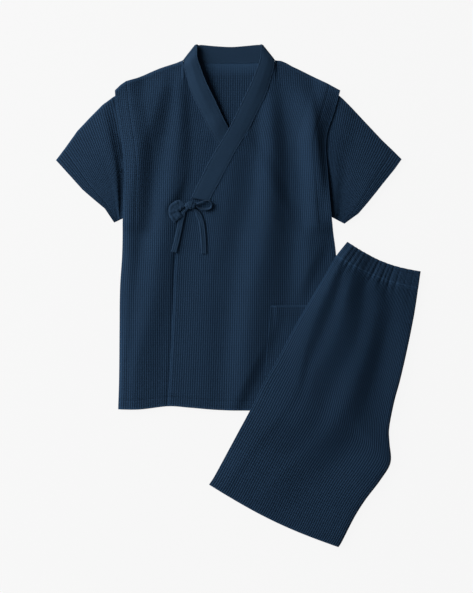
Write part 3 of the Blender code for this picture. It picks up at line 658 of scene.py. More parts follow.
def frontPlan(sideTable, sign):
    # Columns keep the cloth's grain from the hem to the band's end, the neck seam or the shoulder.
    tops = list(bandEnd) + [(x + 0.6, y) for x, y, *rest in reversed(collarRows)]
    shoulder = shoulderLine(sideTable, panels["shoulderSteps"])
    shoulder[0] += panels["neckReach"]      # meets the end of the collar's turn
    tops = np.concatenate([np.array(tops), [panels["neckCorner"]], shoulder])
    t = np.linspace(0, 1, 4000)
    fine = along(tops, t)
    edge, side = through(frontEdge, fine[:, 1]), through(sideTable, fine[:, 1])
    share = np.maximum.accumulate((fine[:, 0] - edge) / (side - edge))
    steps = panels["frontRibs"] * rib["steps"]
    wanted = np.linspace(0, 1, steps + 1)
    topX, topY = (np.interp(wanted, share, fine[:, k]) for k in range(2))
    topX[-1], topY[-1] = fine[-1]
    low = np.array(panels["hemRows"], float)
    rest = int(round((730 - low[-1]) / panels["rowGap"]))
    level = np.zeros((steps + 1, len(low) + rest))
    across = np.tile(topX[:, None], (1, level.shape[1]))
    for turn in range(3):
        base = through(hem, sign * across)
        level[:, :len(low)] = base[:, :len(low)] + low[None, :]
        part = np.arange(1, rest + 1)[None, :] / rest
        start = base[:, len(low):] * (1 - part) + low[-1]
        level[:, len(low):] = start + (topY[:, None] - low[-1]) * part
        near = through(frontEdge, level)
        across = near + wanted[:, None] * (through(sideTable, level) - near)
    plan = np.dstack([sign * across, level])
    ribs = np.tile((wanted * panels["frontRibs"])[:, None], (1, level.shape[1]))
    grain = np.dstack([wanted[:, None] * 362 * sign + level * 0, level])
    return plan, ribs, grain


def frontDips(plan, sideTable):
    # Stitched lines: the hem, and the sleeve seam set back from the flange edge.
    x, y = plan[..., 0], plan[..., 1]
    dips = groove(y - through(hem, x) - panels["hemLine"])
    inside = through(sideTable, y) - np.abs(x)
    dips = np.maximum(dips, groove(inside - flange + 1) * smooth(372, 392, y))
    return panels["stitchDip"] * dips


def makeFronts():
    made = []
    for name, sideTable, sign, lowOf in (("right_front", leftSide, -1, rightFrontLow),
                                         ("left_front", rightSide, 1, leftFrontLow)):
        plan, ribs, grain = frontPlan(sideTable, sign)
        low = lowOf(plan[..., 0], plan[..., 1])
        thick = cloth - frontDips(plan, sideTable)
        piece = ribbedPiece(name + "_cloth", shell(name, plan, low, thick, ribs, grain))
        made.append(settle(piece, "ribbed_cotton", name))
    return made


backNeck = ((-94.8, 733), (-88, 731), (-62, 731), (-32, 730), (0, 730), (32, 730), (62, 731), (88, 731),
            (94.8, 733))


def makeBack():
    left, right = (shoulderLine(side, panels["shoulderSteps"]) for side in (leftSide, rightSide))
    left[0, 1] += panels["backReach"]
    right[0, 1] += panels["backReach"]
    tops = np.concatenate([left[::-1] * (-1, 1), backNeck, right])
    steps = panels["backRibs"] * rib["steps"]
    fine = along(tops, np.linspace(0, 1, steps + 1))
    share = np.abs(fine[:, 0]) / sideX(fine[:, 0], fine[:, 1])
    parts = np.concatenate([[0, 0.002], np.linspace(0.03, 1, 26)])
    level = 2 + through(hem, fine[:, 0])[:, None] * (1 - parts) + parts * (fine[:, 1:2] - 3)
    side = np.where(fine[:, :1] < 0, through(leftSide, level), through(rightSide, level))
    across = np.sign(fine[:, :1]) * share[:, None] * (side - 2)
    plan = np.dstack([across, level])
    ribs = np.tile(np.linspace(0, panels["backRibs"], steps + 1)[:, None], (1, len(parts)))
    low = np.zeros(level.shape)
    piece = ribbedPiece("back_cloth", shell("back", plan, low, low + cloth, ribs,
                                            np.dstack([ribs * rib["pitch"], level])))
    return settle(piece, "ribbed_cotton", "back")


backCloth = makeBack()
rightFront, leftFront = makeFronts()
print("back and fronts laid")


# Sleeves

sleeve = {"ribs": 36, "columns": 84, "hollow": 0.9, "stations": 150, "hem": 0.87, "cut": (165, 267),
          # height over the pressed sleeve at shares out from the flange to the cuff
          "right_sleeve": ((0, 0.0), (0.06, 1.6), (0.16, 6.2), (0.35, 7.0), (0.7, 5.0), (1, 3.0)),
          "left_sleeve": ((0, 0.0), (0.06, 0.9), (0.16, 2.0), (0.35, 2.0), (0.6, 3.6), (0.85, 5.0), (1, 3.4))}
sleeveHead = ((211, 678), (205, 620), (202, 560), (203, 480), (205, 411))
# top fold, cuff, underarm fold
sleeveEdges = {
    "right_sleeve": (((211, 678), (240, 660), (266, 641), (292, 615), (319, 586.5), (345, 550), (364, 525)),
                     ((364, 525), (334, 492), (308, 463), (285, 443), (261, 423), (241.6, 394)),
                     ((205, 411), (241.6, 394))),
    "left_sleeve": (((211, 678), (238, 655), (259, 634), (291, 600), (322, 567), (345, 545), (363, 527)),
                    ((363, 527), (349, 507), (323.5, 475.5), (307, 454.5), (290, 433.5), (272, 412.5),
                     (243, 391.5)),
                    ((205, 411), (243, 391.5))),
}


def sleevePoint(name, s, t):
    # A patch between four lines: s from the head to the cuff, t from the top fold to the underarm.
    topLine, cuffLine, underLine = sleeveEdges[name]
    head, cuff = along(sleeveHead, t), along(cuffLine, t)
    top, under = along(topLine, s), along(underLine, s)
    s, t = s[..., None], t[..., None]
    corners = [np.array(line[k]) for line in (sleeveHead, cuffLine) for k in (0, -1)]
    return ((1 - s) * head + s * cuff + (1 - t) * top + t * under
            - (1 - s) * (1 - t) * corners[0] - (1 - s) * t * corners[1]
            - s * (1 - t) * corners[2] - s * t * corners[3])


def makeSleeve(name, sideTable, sign):
    shares = np.linspace(0, 1, sleeve["columns"] + 1)
    trial = np.linspace(0.02, 0.9, 89)
    leave = []
    for t in shares:
        spots = sleevePoint(name, trial, np.full(len(trial), t))
        clear = spots[:, 0] >= through(sideTable, spots[:, 1]) + 5
        leave.append(trial[np.argmax(clear)] if clear.any() else 0.9)
    kernel = np.ones(9) / 9
    leave = np.convolve(np.pad(leave, 4, mode="edge"), kernel, mode="valid")
    stations = np.concatenate([[0, 0.5, 1], 1 + np.linspace(0, 1, sleeve["stations"])[1:]])
    out = np.maximum(stations - 1, 0)[:, None]
    t = np.tile(shares[None, :], (len(stations), 1))
    s = np.where(stations[:, None] <= 1, leave[None, :] * stations[:, None],
                 leave[None, :] + (1 - leave[None, :]) * (stations[:, None] - 1))
    spots = sleevePoint(name, s, t)
    low = onBack * (1 - smooth(0.04, 0.4, out)) + np.zeros(t.shape)
    puff = through(sleeve[name], out) * np.sin(math.pi * t) ** 0.7
    puff = puff - 0.5 * groove(s - sleeve["hem"], 0.013) * smooth(0, 0.03, t) * smooth(0, 0.03, 1 - t)
    gap = sleeve["hollow"] + puff
    edge = np.zeros(t.shape)
    edge[:, 0] = edge[:, -1] = 0.35
    x, y = sign * spots[..., 0], spots[..., 1]
    top = np.dstack([x, y, low + 2 * cloth + gap - edge])
    bottom = np.dstack([x, y, low + edge])
    inShares = np.clip(t, 0.012, 0.988)
    inner = sleevePoint(name, s, inShares)
    innerTop = np.dstack([sign * inner[..., 0], inner[..., 1], low + cloth + gap])
    innerBottom = np.dstack([sign * inner[..., 0], inner[..., 1], low + cloth])
    rows, wide = t.shape
    ring = 2 * wide
    outerRings = np.concatenate([top, bottom[:, ::-1]], axis=1).reshape(-1, 3)
    innerRings = np.concatenate([innerTop, innerBottom[:, ::-1]], axis=1).reshape(-1, 3)
    ids = np.arange(rows * ring).reshape(rows, ring)
    faces = [ribbon(list(ids)), ribbon(list(ids + rows * ring))[:, ::-1],
             ribbon([ids[-1], ids[-1] + rows * ring]), ribbon([ids[0] + rows * ring, ids[0]])]
    faces = np.concatenate(faces)
    if sign < 0:
        faces = faces[:, ::-1]
    ribs = np.concatenate([s, s[:, ::-1]], axis=1) * sleeve["ribs"]
    outer = np.ones((rows, ring))
    outer[:, [0, wide - 1, wide, ring - 1]] = 0
    outer[-1] = 0
    outer[0] = 0
    long, wideCut = sleeve["cut"]
    run = np.concatenate([t, 2 - t[:, ::-1]], axis=1) * wideCut
    grain = np.dstack([ribs * long / sleeve["ribs"], run]).reshape(-1, 2)
    worn = np.exp(-((1 - out) * 60) ** 2) + np.exp(-(t * 60) ** 2) + np.exp(-((1 - t) * 60) ** 2)
    worn = np.tile(worn, (1, 2))
    mesh = rawMesh(name, np.concatenate([outerRings, innerRings]), faces,
                   {"ribCount": np.tile(ribs.ravel(), 2), "edgeWear": np.tile(worn.ravel(), 2),
                    "outerSkin": np.concatenate([outer.ravel(), np.zeros(rows * ring)])},
                   np.concatenate([grain, grain]))
    # The cuff's hem line on the upper and the lower layer.
    cuff = (sleeve["hem"] - leave) / (1 - leave) * sleeve["stations"] + 2
    k = np.floor(cuff).astype(int)
    part, column = (cuff - k)[:, None], np.arange(wide)
    hems = [grid[k, column] * (1 - part) + grid[k + 1, column] * part for grid in (top, bottom)]
    return settle(ribbedPiece(name + "_cloth", mesh), "ribbed_cotton", name), hems


rightSleeve, rightHems = makeSleeve("right_sleeve", leftSide, -1)
leftSleeve, leftHems = makeSleeve("left_sleeve", rightSide, 1)
print("sleeves set in")


# Collar band

collarShape = {"stations": 260, "crown": 0.72, "stitchDip": 0.35,
               "shares": (0, 0.02, 0.045, 0.07, 0.10, 0.13, 0.22, 0.32, 0.42, 0.5, 0.58, 0.68, 0.78, 0.87,
                          0.905, 0.93, 0.955, 0.98, 1)}
backBand = ((0, 729, 4, 763), (32, 729, 33, 765), (62, 730, 57, 767.3))
neckFold = ((97.6, 734.8, 2.2), (71.5, 767.8, 5.0))
# The right side of the photo stands up less.
standing = {-1: 0.8, 1: 0.35}


def bandSection(seam, free, underSeam, underFree):
    crown = 0.4 if underFree > underSeam else 0.0
    middle = [(a + b) / 2 for a, b in zip(seam, free)]
    underMid = underSeam + (underFree - underSeam) * collarShape["crown"]
    return [(seam[0], seam[1], underSeam), (middle[0], middle[1], underMid),
            (free[0], free[1], underFree + 0.2), (free[0], free[1], underFree + band - 0.2),
            (middle[0], middle[1], underMid + band + crown), (seam[0], seam[1], underSeam + band)]


def neckTurn(sign):
    (sx, sy, seamBend), (fx, fy, freeBend) = neckFold
    outward = Vector((sy - fy, fx - sx)).normalized()
    if outward.x < 0:
        outward = -outward
    sections = []
    for angle in (0, 18, 35, 52, 70, 85, 100, 115, 130, 142, 155, 168, 180):
        turn = math.radians(angle)
        ring = []
        for face, share in ((-1, 0), (-1, 0.5), (-1, 1), (1, 1), (1, 0.5), (1, 0)):
            bend = seamBend + share * (freeBend - seamBend) * standing[sign]
            reach = (bend + face * band / 2) * math.sin(turn) - bend - band / 2
            end = share * (1 - 0.05 * math.sin(turn) ** 6 + 0.085 * float(smooth(100, 30, angle)))
            x = sx + end * (fx - sx) + outward.x * reach
            y = sy + end * (fy - sy) + outward.y * reach
            z = band / 2 + bend - (bend + face * band / 2) * math.cos(turn)
            ring.append((sign * x, y, z))
        sections.append(ring)
    return sections


def collarSections():
    def frontSections(sign, lowOf):
        sections = []
        for x, y, freeX, freeY, rise in collarRows:
            z = float(lowOf(np.array(sign * (x + 0.6)), np.array(float(y))))
            free = z + (rise * standing[sign] if rise > 0 else rise)
            if sign > 0 and rise <= 0 and x < 20:
                free = max(free, onFront)
            if sign < 0 and rise < 0:
                free = z
            sections.append(bandSection((sign * x, y), (sign * freeX, freeY), z, free))
        return sections

    def backSections(sign):
        sections = []
        for x, y, freeX, freeY in backBand:
            ring = bandSection((sign * x, y + 0.3), (sign * freeX, freeY), 0.0, 0.0)
            sections.append(ring[::-1])
        return sections

    left = frontSections(-1, rightFrontLow)
    right = frontSections(1, leftFrontLow)
    path = left[::-1] + neckTurn(-1)[::-1] + backSections(-1)[:0:-1]
    return np.array(path + backSections(1) + neckTurn(1) + right)


def makeCollar():
    coarse = collarSections()
    middle = coarse.mean(axis=1)
    run = np.concatenate([[0], np.cumsum(np.linalg.norm(np.diff(middle, axis=0), axis=1))])
    spread = np.sort(np.concatenate([np.linspace(0, run[-1], collarShape["stations"]), run[1:-1]]))
    spread = spread[np.concatenate([[True], np.diff(spread) > 0.2])]
    rings = np.stack([np.stack([through(np.stack([run, coarse[:, k, c]], axis=-1), spread)
                                for c in range(3)], axis=-1) for k in range(6)], axis=1)
    share = np.array(collarShape["shares"])
    inner = [along3(rings[:, [0, 1, 2]], s) for s in share]
    outer = [along3(rings[:, [3, 4, 5]], s) for s in share]
    # Topstitching presses the band in along both edges.
    for k, s in enumerate(share):
        press = groove((s - 0.07) * 38, 1.3) + groove((s - 0.93) * 38, 1.3)
        across = outer[k] - inner[len(share) - 1 - k]
        across /= np.linalg.norm(across, axis=1)[:, None]
        ripple = 0.3 * np.sin(spread / 13.1 + 2.2 * s) * np.sin(spread / 31.7 + 1.3) * math.sin(math.pi * s)
        outer[k] = outer[k] + across * (ripple[:, None] - press * collarShape["stitchDip"])
    freeMid = (rings[:, 2] + rings[:, 3]) / 2
    freeOut = rings[:, 2] - rings[:, 1]
    freeOut /= np.linalg.norm(freeOut, axis=1)[:, None]
    seamMid = (rings[:, 0] + rings[:, 5]) / 2
    full = np.stack(inner + [freeMid + freeOut * 0.5] + outer + [seamMid - freeOut * 0.2], axis=1)
    full[..., 2] = np.maximum(full[..., 2], 0)
    count, size = full.shape[:2]
    around = np.concatenate([share * 38, [38.5], 38 + share * 38, [76.5]])
    grain = np.dstack([np.tile(around, (count, 1)), np.tile(spread[:, None], (1, size))])
    fromEdge = np.concatenate([np.minimum(share, 1 - share), [0], np.minimum(share, 1 - share), [0]]) * 38
    marks = {"edgeWear": np.tile(np.exp(-(fromEdge / 2.2) ** 2), count)}
    faces = tube(count, size, flip=True)
    mesh = rawMesh("collar", full.reshape(-1, 3), faces, marks, grain.reshape(-1, 2))
    piece = plainPiece("collar_band", mesh, smoothNavy)
    return settle(piece, "plain_cotton", "collar"), full


def along3(rows, share):
    # A point at a share of a three-point line, for each station, on a smooth curve.
    a, b, c = rows[:, 0], rows[:, 1], rows[:, 2]
    if share <= 0.5:
        return a + (b - a) * share * 2
    return b + (c - b) * (share * 2 - 1)


collarBand, collarRings = makeCollar()
print("collar band on")


# Pocket

def rowsToPlan(rows, across, perRow):
    # A grid from rows of left x, y, right x, y, sag between them.
    table = np.array(rows, float)
    k = np.arange(len(table), dtype=float)
    at = np.linspace(0, len(table) - 1, (len(table) - 1) * perRow + 1)
    x0, y0, x1, y1, sag = (through(np.stack([k, table[:, c]], axis=-1), at) for c in range(5))
    t = np.linspace(0, 1, across + 1)[:, None]
    plan = np.dstack([x0 + (x1 - x0) * t, y0 + (y1 - y0) * t - sag * np.sin(math.pi * t)])
    return plan, t, at


pocketShape = {"ribs": 29, "gape": 1.6, "clear": 0.4}
pocketRows = ((76.5, 72, 206, 72, 0), (79, 108, 208, 107, 0), (82, 146, 209, 146, 0),
              (85.5, 183, 211, 183, 0), (88, 219, 212, 220, 0))


def makePocket():
    steps = pocketShape["ribs"] * rib["steps"]
    plan, t, at = rowsToPlan(pocketRows, steps, 14)
    x, y = plan[..., 0], plan[..., 1]
    gape = pocketShape["gape"] * smooth(150, 219, y) * smooth(90, 102, x) * (1 - smooth(118, 150, x))
    low = leftFrontLow(x, y) + cloth + pocketShape["clear"] + gape
    left = x - x[0][None, :]
    dips = np.maximum.reduce([groove(left - 3, 1.4), groove(y - 75, 1.4), groove(y - 199, 1.6)])
    ribs = np.tile(t * pocketShape["ribs"], (1, y.shape[1]))
    grain = np.dstack([x - 76.5, y - 72])
    mesh = shell("pocket", plan, low, cloth - 0.4 * dips, ribs, grain)
    return settle(ribbedPiece("pocket_cloth", mesh), "ribbed_cotton", "pocket"), plan, low


pocketCloth, pocketPlan, pocketLow = makePocket()
print("pocket on")


# Shorts

shorts = {"ribs": 64, "low": onFront + 2 * cloth + 0.7, "core": 4.6, "waistClear": 1.3,
          "ribDepth": 0.95, "bandRibDepth": 0.3, "bandRibs": 60, "grainWidth": 290, "rolls": 3}
# Where the elastic gathers the waist: share across at the top, drift down the leg, width, depth, reach.
gathers = ((0.045, 0.00, 0.012, 0.5, 0.03), (0.10, 0.01, 0.014, 1.2, 0.05), (0.15, -0.01, 0.012, 1.5, 0.07),
           (0.205, 0.00, 0.016, 1.3, 0.05), (0.26, 0.01, 0.012, 0.8, 0.03), (0.335, 0.00, 0.020, 0.7, 0.04),
           (0.385, 0.00, 0.014, 0.8, 0.05), (0.44, -0.02, 0.017, 2.0, 0.07), (0.485, -0.01, 0.011, 0.9, 0.04),
           (0.55, 0.00, 0.014, 1.6, 0.05), (0.595, 0.00, 0.010, 0.7, 0.03), (0.645, 0.01, 0.014, 1.5, 0.06),
           (0.73, 0.00, 0.013, 1.0, 0.04), (0.83, 0.00, 0.014, 0.5, 0.02), (0.91, 0.00, 0.012, 0.35, 0.02))
# The same for the shorts, as (share up the leg, share across, height over the pressed layers).
shortsFolds = (
    ((0, 0.08, 3.6), (0.12, 0.10, 4.2), (0.25, 0.16, 4.8), (0.35, 0.20, 5.2), (0.45, 0.16, 5.8),
     (0.55, 0.13, 6.0), (0.65, 0.105, 6.0), (0.75, 0.085, 5.6), (0.86, 0.065, 3.6)),
    ((0, 0.14, 3.7), (0.12, 0.16, 4.3), (0.25, 0.22, 4.8), (0.35, 0.255, 4.8), (0.45, 0.23, 4.2),
     (0.55, 0.23, 3.4), (0.65, 0.215, 3.0), (0.75, 0.18, 3.0), (0.86, 0.15, 3.2)),
    ((0, 0.20, 3.8), (0.12, 0.22, 4.5), (0.25, 0.31, 5.0), (0.35, 0.32, 5.2), (0.45, 0.30, 5.2),
     (0.55, 0.345, 5.2), (0.65, 0.33, 5.4), (0.75, 0.28, 5.4), (0.86, 0.23, 4.2)),
    ((0, 0.27, 3.9), (0.12, 0.29, 4.6), (0.25, 0.42, 4.4), (0.35, 0.445, 3.0), (0.45, 0.455, 2.2),
     (0.55, 0.50, 1.8), (0.65, 0.505, 1.6), (0.75, 0.44, 1.4), (0.86, 0.365, 2.4)),
    ((0, 0.36, 4.0), (0.12, 0.37, 4.8), (0.25, 0.50, 5.0), (0.35, 0.555, 4.8), (0.45, 0.61, 4.8),
     (0.55, 0.64, 5.0), (0.65, 0.64, 5.0), (0.75, 0.60, 5.0), (0.86, 0.50, 4.2)),
    ((0, 0.56, 2.6), (0.12, 0.60, 1.8), (0.25, 0.69, 1.2), (0.35, 0.705, 0.8), (0.45, 0.76, 0.6),
     (0.55, 0.785, 0.6), (0.65, 0.78, 1.0), (0.75, 0.76, 1.8), (0.86, 0.65, 3.0)),
    ((0, 0.90, 3.8), (0.12, 0.905, 4.6), (0.25, 0.895, 4.8), (0.35, 0.895, 4.4), (0.45, 0.945, 4.2),
     (0.55, 0.955, 3.8), (0.65, 0.955, 3.4), (0.75, 0.90, 3.0), (0.86, 0.85, 3.0)),
    ((0, 0.988, 3.4), (0.12, 0.988, 4.2), (0.25, 0.988, 4.4), (0.35, 0.988, 4.2), (0.45, 0.988, 3.9),
     (0.55, 0.988, 3.6), (0.65, 0.988, 3.2), (0.75, 0.988, 2.8), (0.86, 0.988, 2.6)),
)
shortsRows = ((-41.6, -157, 230, -288, 11), (-30, -139, 238, -275, 9), (-5, -93, 262.5, -227, 5),
              (25, -37, 285.6, -190, 2), (50, 10.5, 319, -146, 0), (73, 57, 339.4, -110, 0),
              (101, 105, 337, -68, 0), (117, 135, 336.6, -37, 0), (133, 165.5, 347, 17, 0),
              (150, 196, 359.5, 63, 1), (170, 230, 374, 126, 3), (190, 264, 387, 190, 6),
              (207, 293, 393, 226, 8), (224, 322.5, 397, 254, 9))
waistRows = ((224.2, 322.9, 397.2, 254.4, 9), (236, 338, 399.6, 272, 10), (248, 352.6, 402.4, 291, 11))


def shortsBase(x, y):
    beyond = np.maximum(x - 238, -2 - y)
    return shorts["low"] * (1 - smooth(3, 42, beyond))


def shortsFill(x, y):
    # Past the jacket's edge the layers loft, so the top slopes down more gently than the underside.
    beyond = np.maximum(x - 238, -2 - y)
    return shorts["low"] * (1 - smooth(3, 95, beyond)) - shortsBase(x, y)


def gatherDepth(across, up):
    # Soft grooves that start at the waist's edge and die out down the leg.
    deep = np.zeros(np.broadcast(across, up).shape)
    for at, drift, width, depth, reach in gathers:
        below = np.clip(0.865 - up, 0, None)
        middle = at + drift * below / reach
        wide = width * (1 + 1.5 * below / reach)
        fade = np.exp(-(below / reach) ** 2) * (0.55 + 0.30 * smooth(0.97, 0.86, up))
        deep = deep + depth * fade * np.exp(-((across - middle) / wide) ** 2)
    return deep


def shortsHeight(x, y, across, up):
    ends = 0.45 + 0.55 * smooth(0, 0.16, up) * smooth(0, 0.10, 1 - up)
    folds = foldHeight(shortsFolds, across, up, 0.0 * across, 1.0 + 0.0 * across)
    puff = 1.1 * smooth(0.66, 0.86, up) * smooth(0.03, 0.08, across) * (1 - smooth(0.80, 0.95, across))
    return shorts["core"] + shortsFill(x, y) + np.maximum(folds * ends + puff - gatherDepth(across, up), 0.1)


def makeShorts():
    steps = shorts["ribs"] * rib["steps"]
    length = len(shortsRows) + len(waistRows) - 2
    plan, t, at = rowsToPlan(shortsRows, steps, 8)
    x, y = plan[..., 0], plan[..., 1]
    low = shortsBase(x, y) + shortsHeight(x, y, t + 0 * x, at[None, :] / length + 0 * x) + layerGap
    ribs = np.tile(t * shorts["ribs"], (1, y.shape[1]))
    grain = np.dstack([ribs * rib["pitch"], np.tile(at[None, :] * 42, (steps + 1, 1))])
    mesh = shell("shorts_leg", plan, low, np.full(low.shape, cloth), ribs, grain)
    leg = ribbedPiece("shorts_leg_cloth", mesh, depth=shorts["ribDepth"])
    settle(leg, "ribbed_cotton", "shorts_leg")

    coarse = 200
    waistPart, atWaist = rowsToPlan(waistRows, coarse, 3)[::2]
    legPart, share, atLeg = rowsToPlan(shortsRows, coarse, 5)
    whole = np.concatenate([legPart, waistPart[:, 1:]], axis=1)
    index = np.concatenate([atLeg, len(shortsRows) - 1 + atWaist[1:]])
    x, y = whole[..., 0], whole[..., 1]
    base = shortsBase(x, y)
    height = shortsHeight(x, y, share + 0 * x, index[None, :] / length + 0 * x)
    grain = np.dstack([np.tile(share * shorts["grainWidth"], (1, y.shape[1])), y])
    mesh = layeredSolid("shorts_inner", whole, base, height, grain)
    core = settle(plainPiece("shorts_inner_layers_cloth", mesh, ribbedNavy), "ribbed_cotton",
                  "shorts_inner_layers")
    return leg, core, plan, low


def layeredSolid(name, plan, base, height, grain):
    # The hidden layers as one solid, with a rounded roll for each layer round its rim.
    across, down = base.shape
    if np.cross(plan[1, 0] - plan[0, 0], plan[0, 1] - plan[0, 0]) < 0:
        plan, base, height, grain = plan[::-1], base[::-1], height[::-1], grain[::-1]
    top = np.dstack([plan, base + height]).reshape(-1, 3)
    bottom = np.dstack([plan, base]).reshape(-1, 3)
    order = rimOrder(across, down)
    out = outwards(top, order)
    rims = []
    levels = np.linspace(0.05, 0.95, 4 * shorts["rolls"] + 1)
    for share in levels:
        ring = bottom[order] * (1 - share) + top[order] * share
        ring[:, :2] += out * (0.9 * abs(math.sin(shorts["rolls"] * math.pi * share)) - 0.7)
        rims.append(ring)
    count, size = across * down, len(order)
    points = np.concatenate([top, bottom] + rims)
    middle = [2 * count + k * size + np.arange(size) for k in range(len(levels))]
    ids = [order + count] + middle + [order]
    faces = np.concatenate([grids(0, across, down), grids(count, across, down, flip=True),
                            ribbon(ids)])
    flat = grain.reshape(-1, 2)
    cut = np.concatenate([flat, flat] + [flat[order]] * len(levels))
    return rawMesh(name, points, faces, None, cut)


def makeWaistband():
    plan, t, at = rowsToPlan(waistRows, 256, 12)
    x, y = plan[..., 0], plan[..., 1]
    below = len(shortsRows) - 1
    up = (below + at[None, :]) / (below + len(waistRows) - 1)
    inside = shortsBase(x, y) + shortsHeight(x, y, t + 0 * x, up + 0 * x)
    low = inside + shorts["waistClear"]
    # The top edge is scalloped between the gathers, and elastic stitching presses two lines.
    scallop = gatherDepth(t + 0 * x, 0.94 + 0 * x) * smooth(1.2, 2.0, at[None, :])
    run = np.array([waistRows[-1][0] - waistRows[0][0], waistRows[-1][1] - waistRows[0][1]], float)
    plan = plan - scallop[..., None] * 0.9 * run / np.linalg.norm(run)
    dips = np.maximum(groove(at - 0.35, 0.09), groove(at - 1.65, 0.09))[None, :]
    pucker = 0.22 * np.sin(61 * t + 4.1 * at[None, :]) * np.sin(23 * t + 5.3 * at[None, :] + 1)
    ribs = np.tile(t * shorts["bandRibs"], (1, y.shape[1]))
    grain = np.dstack([ribs * rib["pitch"], np.tile(at[None, :] * 18, (len(t), 1))])
    mesh = shell("waistband", plan, low, cloth - 0.3 * dips + pucker * smooth(0, 0.1, t), ribs, grain)
    piece = ribbedPiece("waistband_cloth", mesh, depth=shorts["bandRibDepth"])
    return settle(piece, "ribbed_cotton", "waistband"), plan, low


shortsLeg, shortsCore, legPlan, legLow = makeShorts()
waistband, waistPlan, waistLow = makeWaistband()
print("shorts folded")


# Tie

tie = {"width": 12.5, "cloth": 1.3, "loopWidth": 23, "knot": (-81, 429.5), "half": (12.5, 8.5, 3.5),
       "gap": 0.5}
# Crumples on each strap: share along it, share across it, their spread, height.
crumples = {
    "tie_tail_left": ((0.10, 0.2, 0.05, 0.4, 0.7), (0.22, -0.4, 0.07, 0.3, 0.5), (0.38, 0.5, 0.1, 0.35, 0.5),
                      (0.62, -0.3, 0.16, 0.3, 0.45), (0.85, 0.4, 0.12, 0.5, 0.4)),
    "tie_tail_right": ((0.12, -0.3, 0.06, 0.4, 0.7), (0.30, 0.4, 0.1, 0.3, 0.4),
                       (0.55, -0.6, 0.2, 0.25, 0.6), (0.80, -0.5, 0.12, 0.3, 0.4)),
    "tie_loop_left": ((0.15, 0.3, 0.08, 0.3, 1.0), (0.30, -0.5, 0.07, 0.3, 1.3), (0.42, 0.1, 0.05, 0.5, -0.9),
                      (0.50, 0.6, 0.08, 0.3, 1.2), (0.60, -0.3, 0.05, 0.5, 1.0), (0.70, 0.2, 0.05, 0.6, -1.0),
                      (0.80, -0.6, 0.08, 0.3, 1.1), (0.92, 0.3, 0.06, 0.5, 0.9)),
}


def overJacket(x, y, clear=0.0):
    dx, dy = np.meshgrid((-10, -5, 0, 5, 10), (-7, 0, 7))
    x, y = np.asarray(x, float), np.asarray(y, float)
    around = jacketTop(x[..., None] + dx.ravel(), y[..., None] + dy.ravel())
    return around.max(axis=-1) + clear


knotLow = float(overJacket(*tie["knot"]))


def knotExit(towards, height):
    kx, ky = tie["knot"]
    way = np.array([towards[0] - kx, towards[1] - ky], float)
    half = tie["half"]
    level = math.sqrt(1 - ((height - half[2]) / half[2]) ** 2)
    reach = 1 / math.hypot(way[0] / (half[0] * level), way[1] / (half[1] * level))
    start = way * reach + way / np.linalg.norm(way) * tie["gap"]
    return (kx + start[0], ky + start[1])


def sweep(name, centre, side, low, tall, node):
    # A flat strip: centre and side give its plan, low its underside and tall its thickness.
    count = len(centre)
    half = np.concatenate([[-1, -0.96, -0.86], np.linspace(-0.7, 0.7, 11), [0.86, 0.96, 1]])
    across = np.concatenate([half, half[::-1]])
    lift = np.concatenate([0.3 * np.abs(half) ** 8, 1 - 0.45 * np.abs(half[::-1]) ** 8])
    onTop = np.concatenate([np.zeros(len(half)), np.ones(len(half))])
    t = np.linspace(0, 1, count)[:, None]
    relief = 0.22 * np.cos(3 * math.pi * across)[None, :] + 0 * t
    for at, beside, spread, wide, height in crumples.get(node, ()):
        relief = relief + height * np.exp(-((t - at) / spread) ** 2 - ((across - beside) / wide) ** 2)
    xy = centre[:, None, :] + side[:, None, :] * across[None, :, None]
    z = low[:, None] + tall * lift[None, :] + np.maximum(relief, -0.5) * onTop[None, :]
    rings = np.dstack([xy[..., 0], xy[..., 1], z])
    size = len(across)
    run = np.concatenate([[0], np.cumsum(np.linalg.norm(np.diff(centre, axis=0), axis=1))])
    grain = np.dstack([np.tile(across * 6, (count, 1)), np.tile(run[:, None], (1, size))])
    marks = {"edgeWear": np.tile(np.exp(-((1 - np.abs(across)) / 0.12) ** 2), count)}
    mesh = rawMesh(name, rings.reshape(-1, 3), tube(count, size), marks, grain.reshape(-1, 2))
    return settle(plainPiece(name, mesh, smoothNavy), "plain_cotton", node)


def smoothLine(points, count):
    line = np.array(points, float)
    run = np.concatenate([[0], np.cumsum(np.linalg.norm(np.diff(line, axis=0), axis=1))])
    at = np.linspace(0, run[-1], count)
    return np.stack([through(np.stack([run, line[:, k]], axis=-1), at) for k in range(2)], axis=-1)


def sideways(line):
    run = np.gradient(line, axis=0)
    run /= np.linalg.norm(run, axis=1)[:, None]
    return np.stack([-run[:, 1], run[:, 0]], axis=-1)


def strip(name, points, clear, width, startClear, node):
    closest = min(max(tie["half"][2], startClear), startClear + tie["cloth"])
    line = smoothLine([knotExit(points[0], closest)] + points, 90)
    t = np.linspace(0, 1, 90)
    fromKnot = smooth(0, 0.3, t)
    lift = startClear * (1 - fromKnot) + clear * fromKnot
    low = knotLow * (1 - fromKnot) + overJacket(line[:, 0], line[:, 1]) * fromKnot + lift
    wide = width * (0.45 + 0.55 * smooth(0, 0.2, t))
    side = sideways(line) * wide[:, None] / 2
    return sweep(name, line, side, low, tie["cloth"], node)


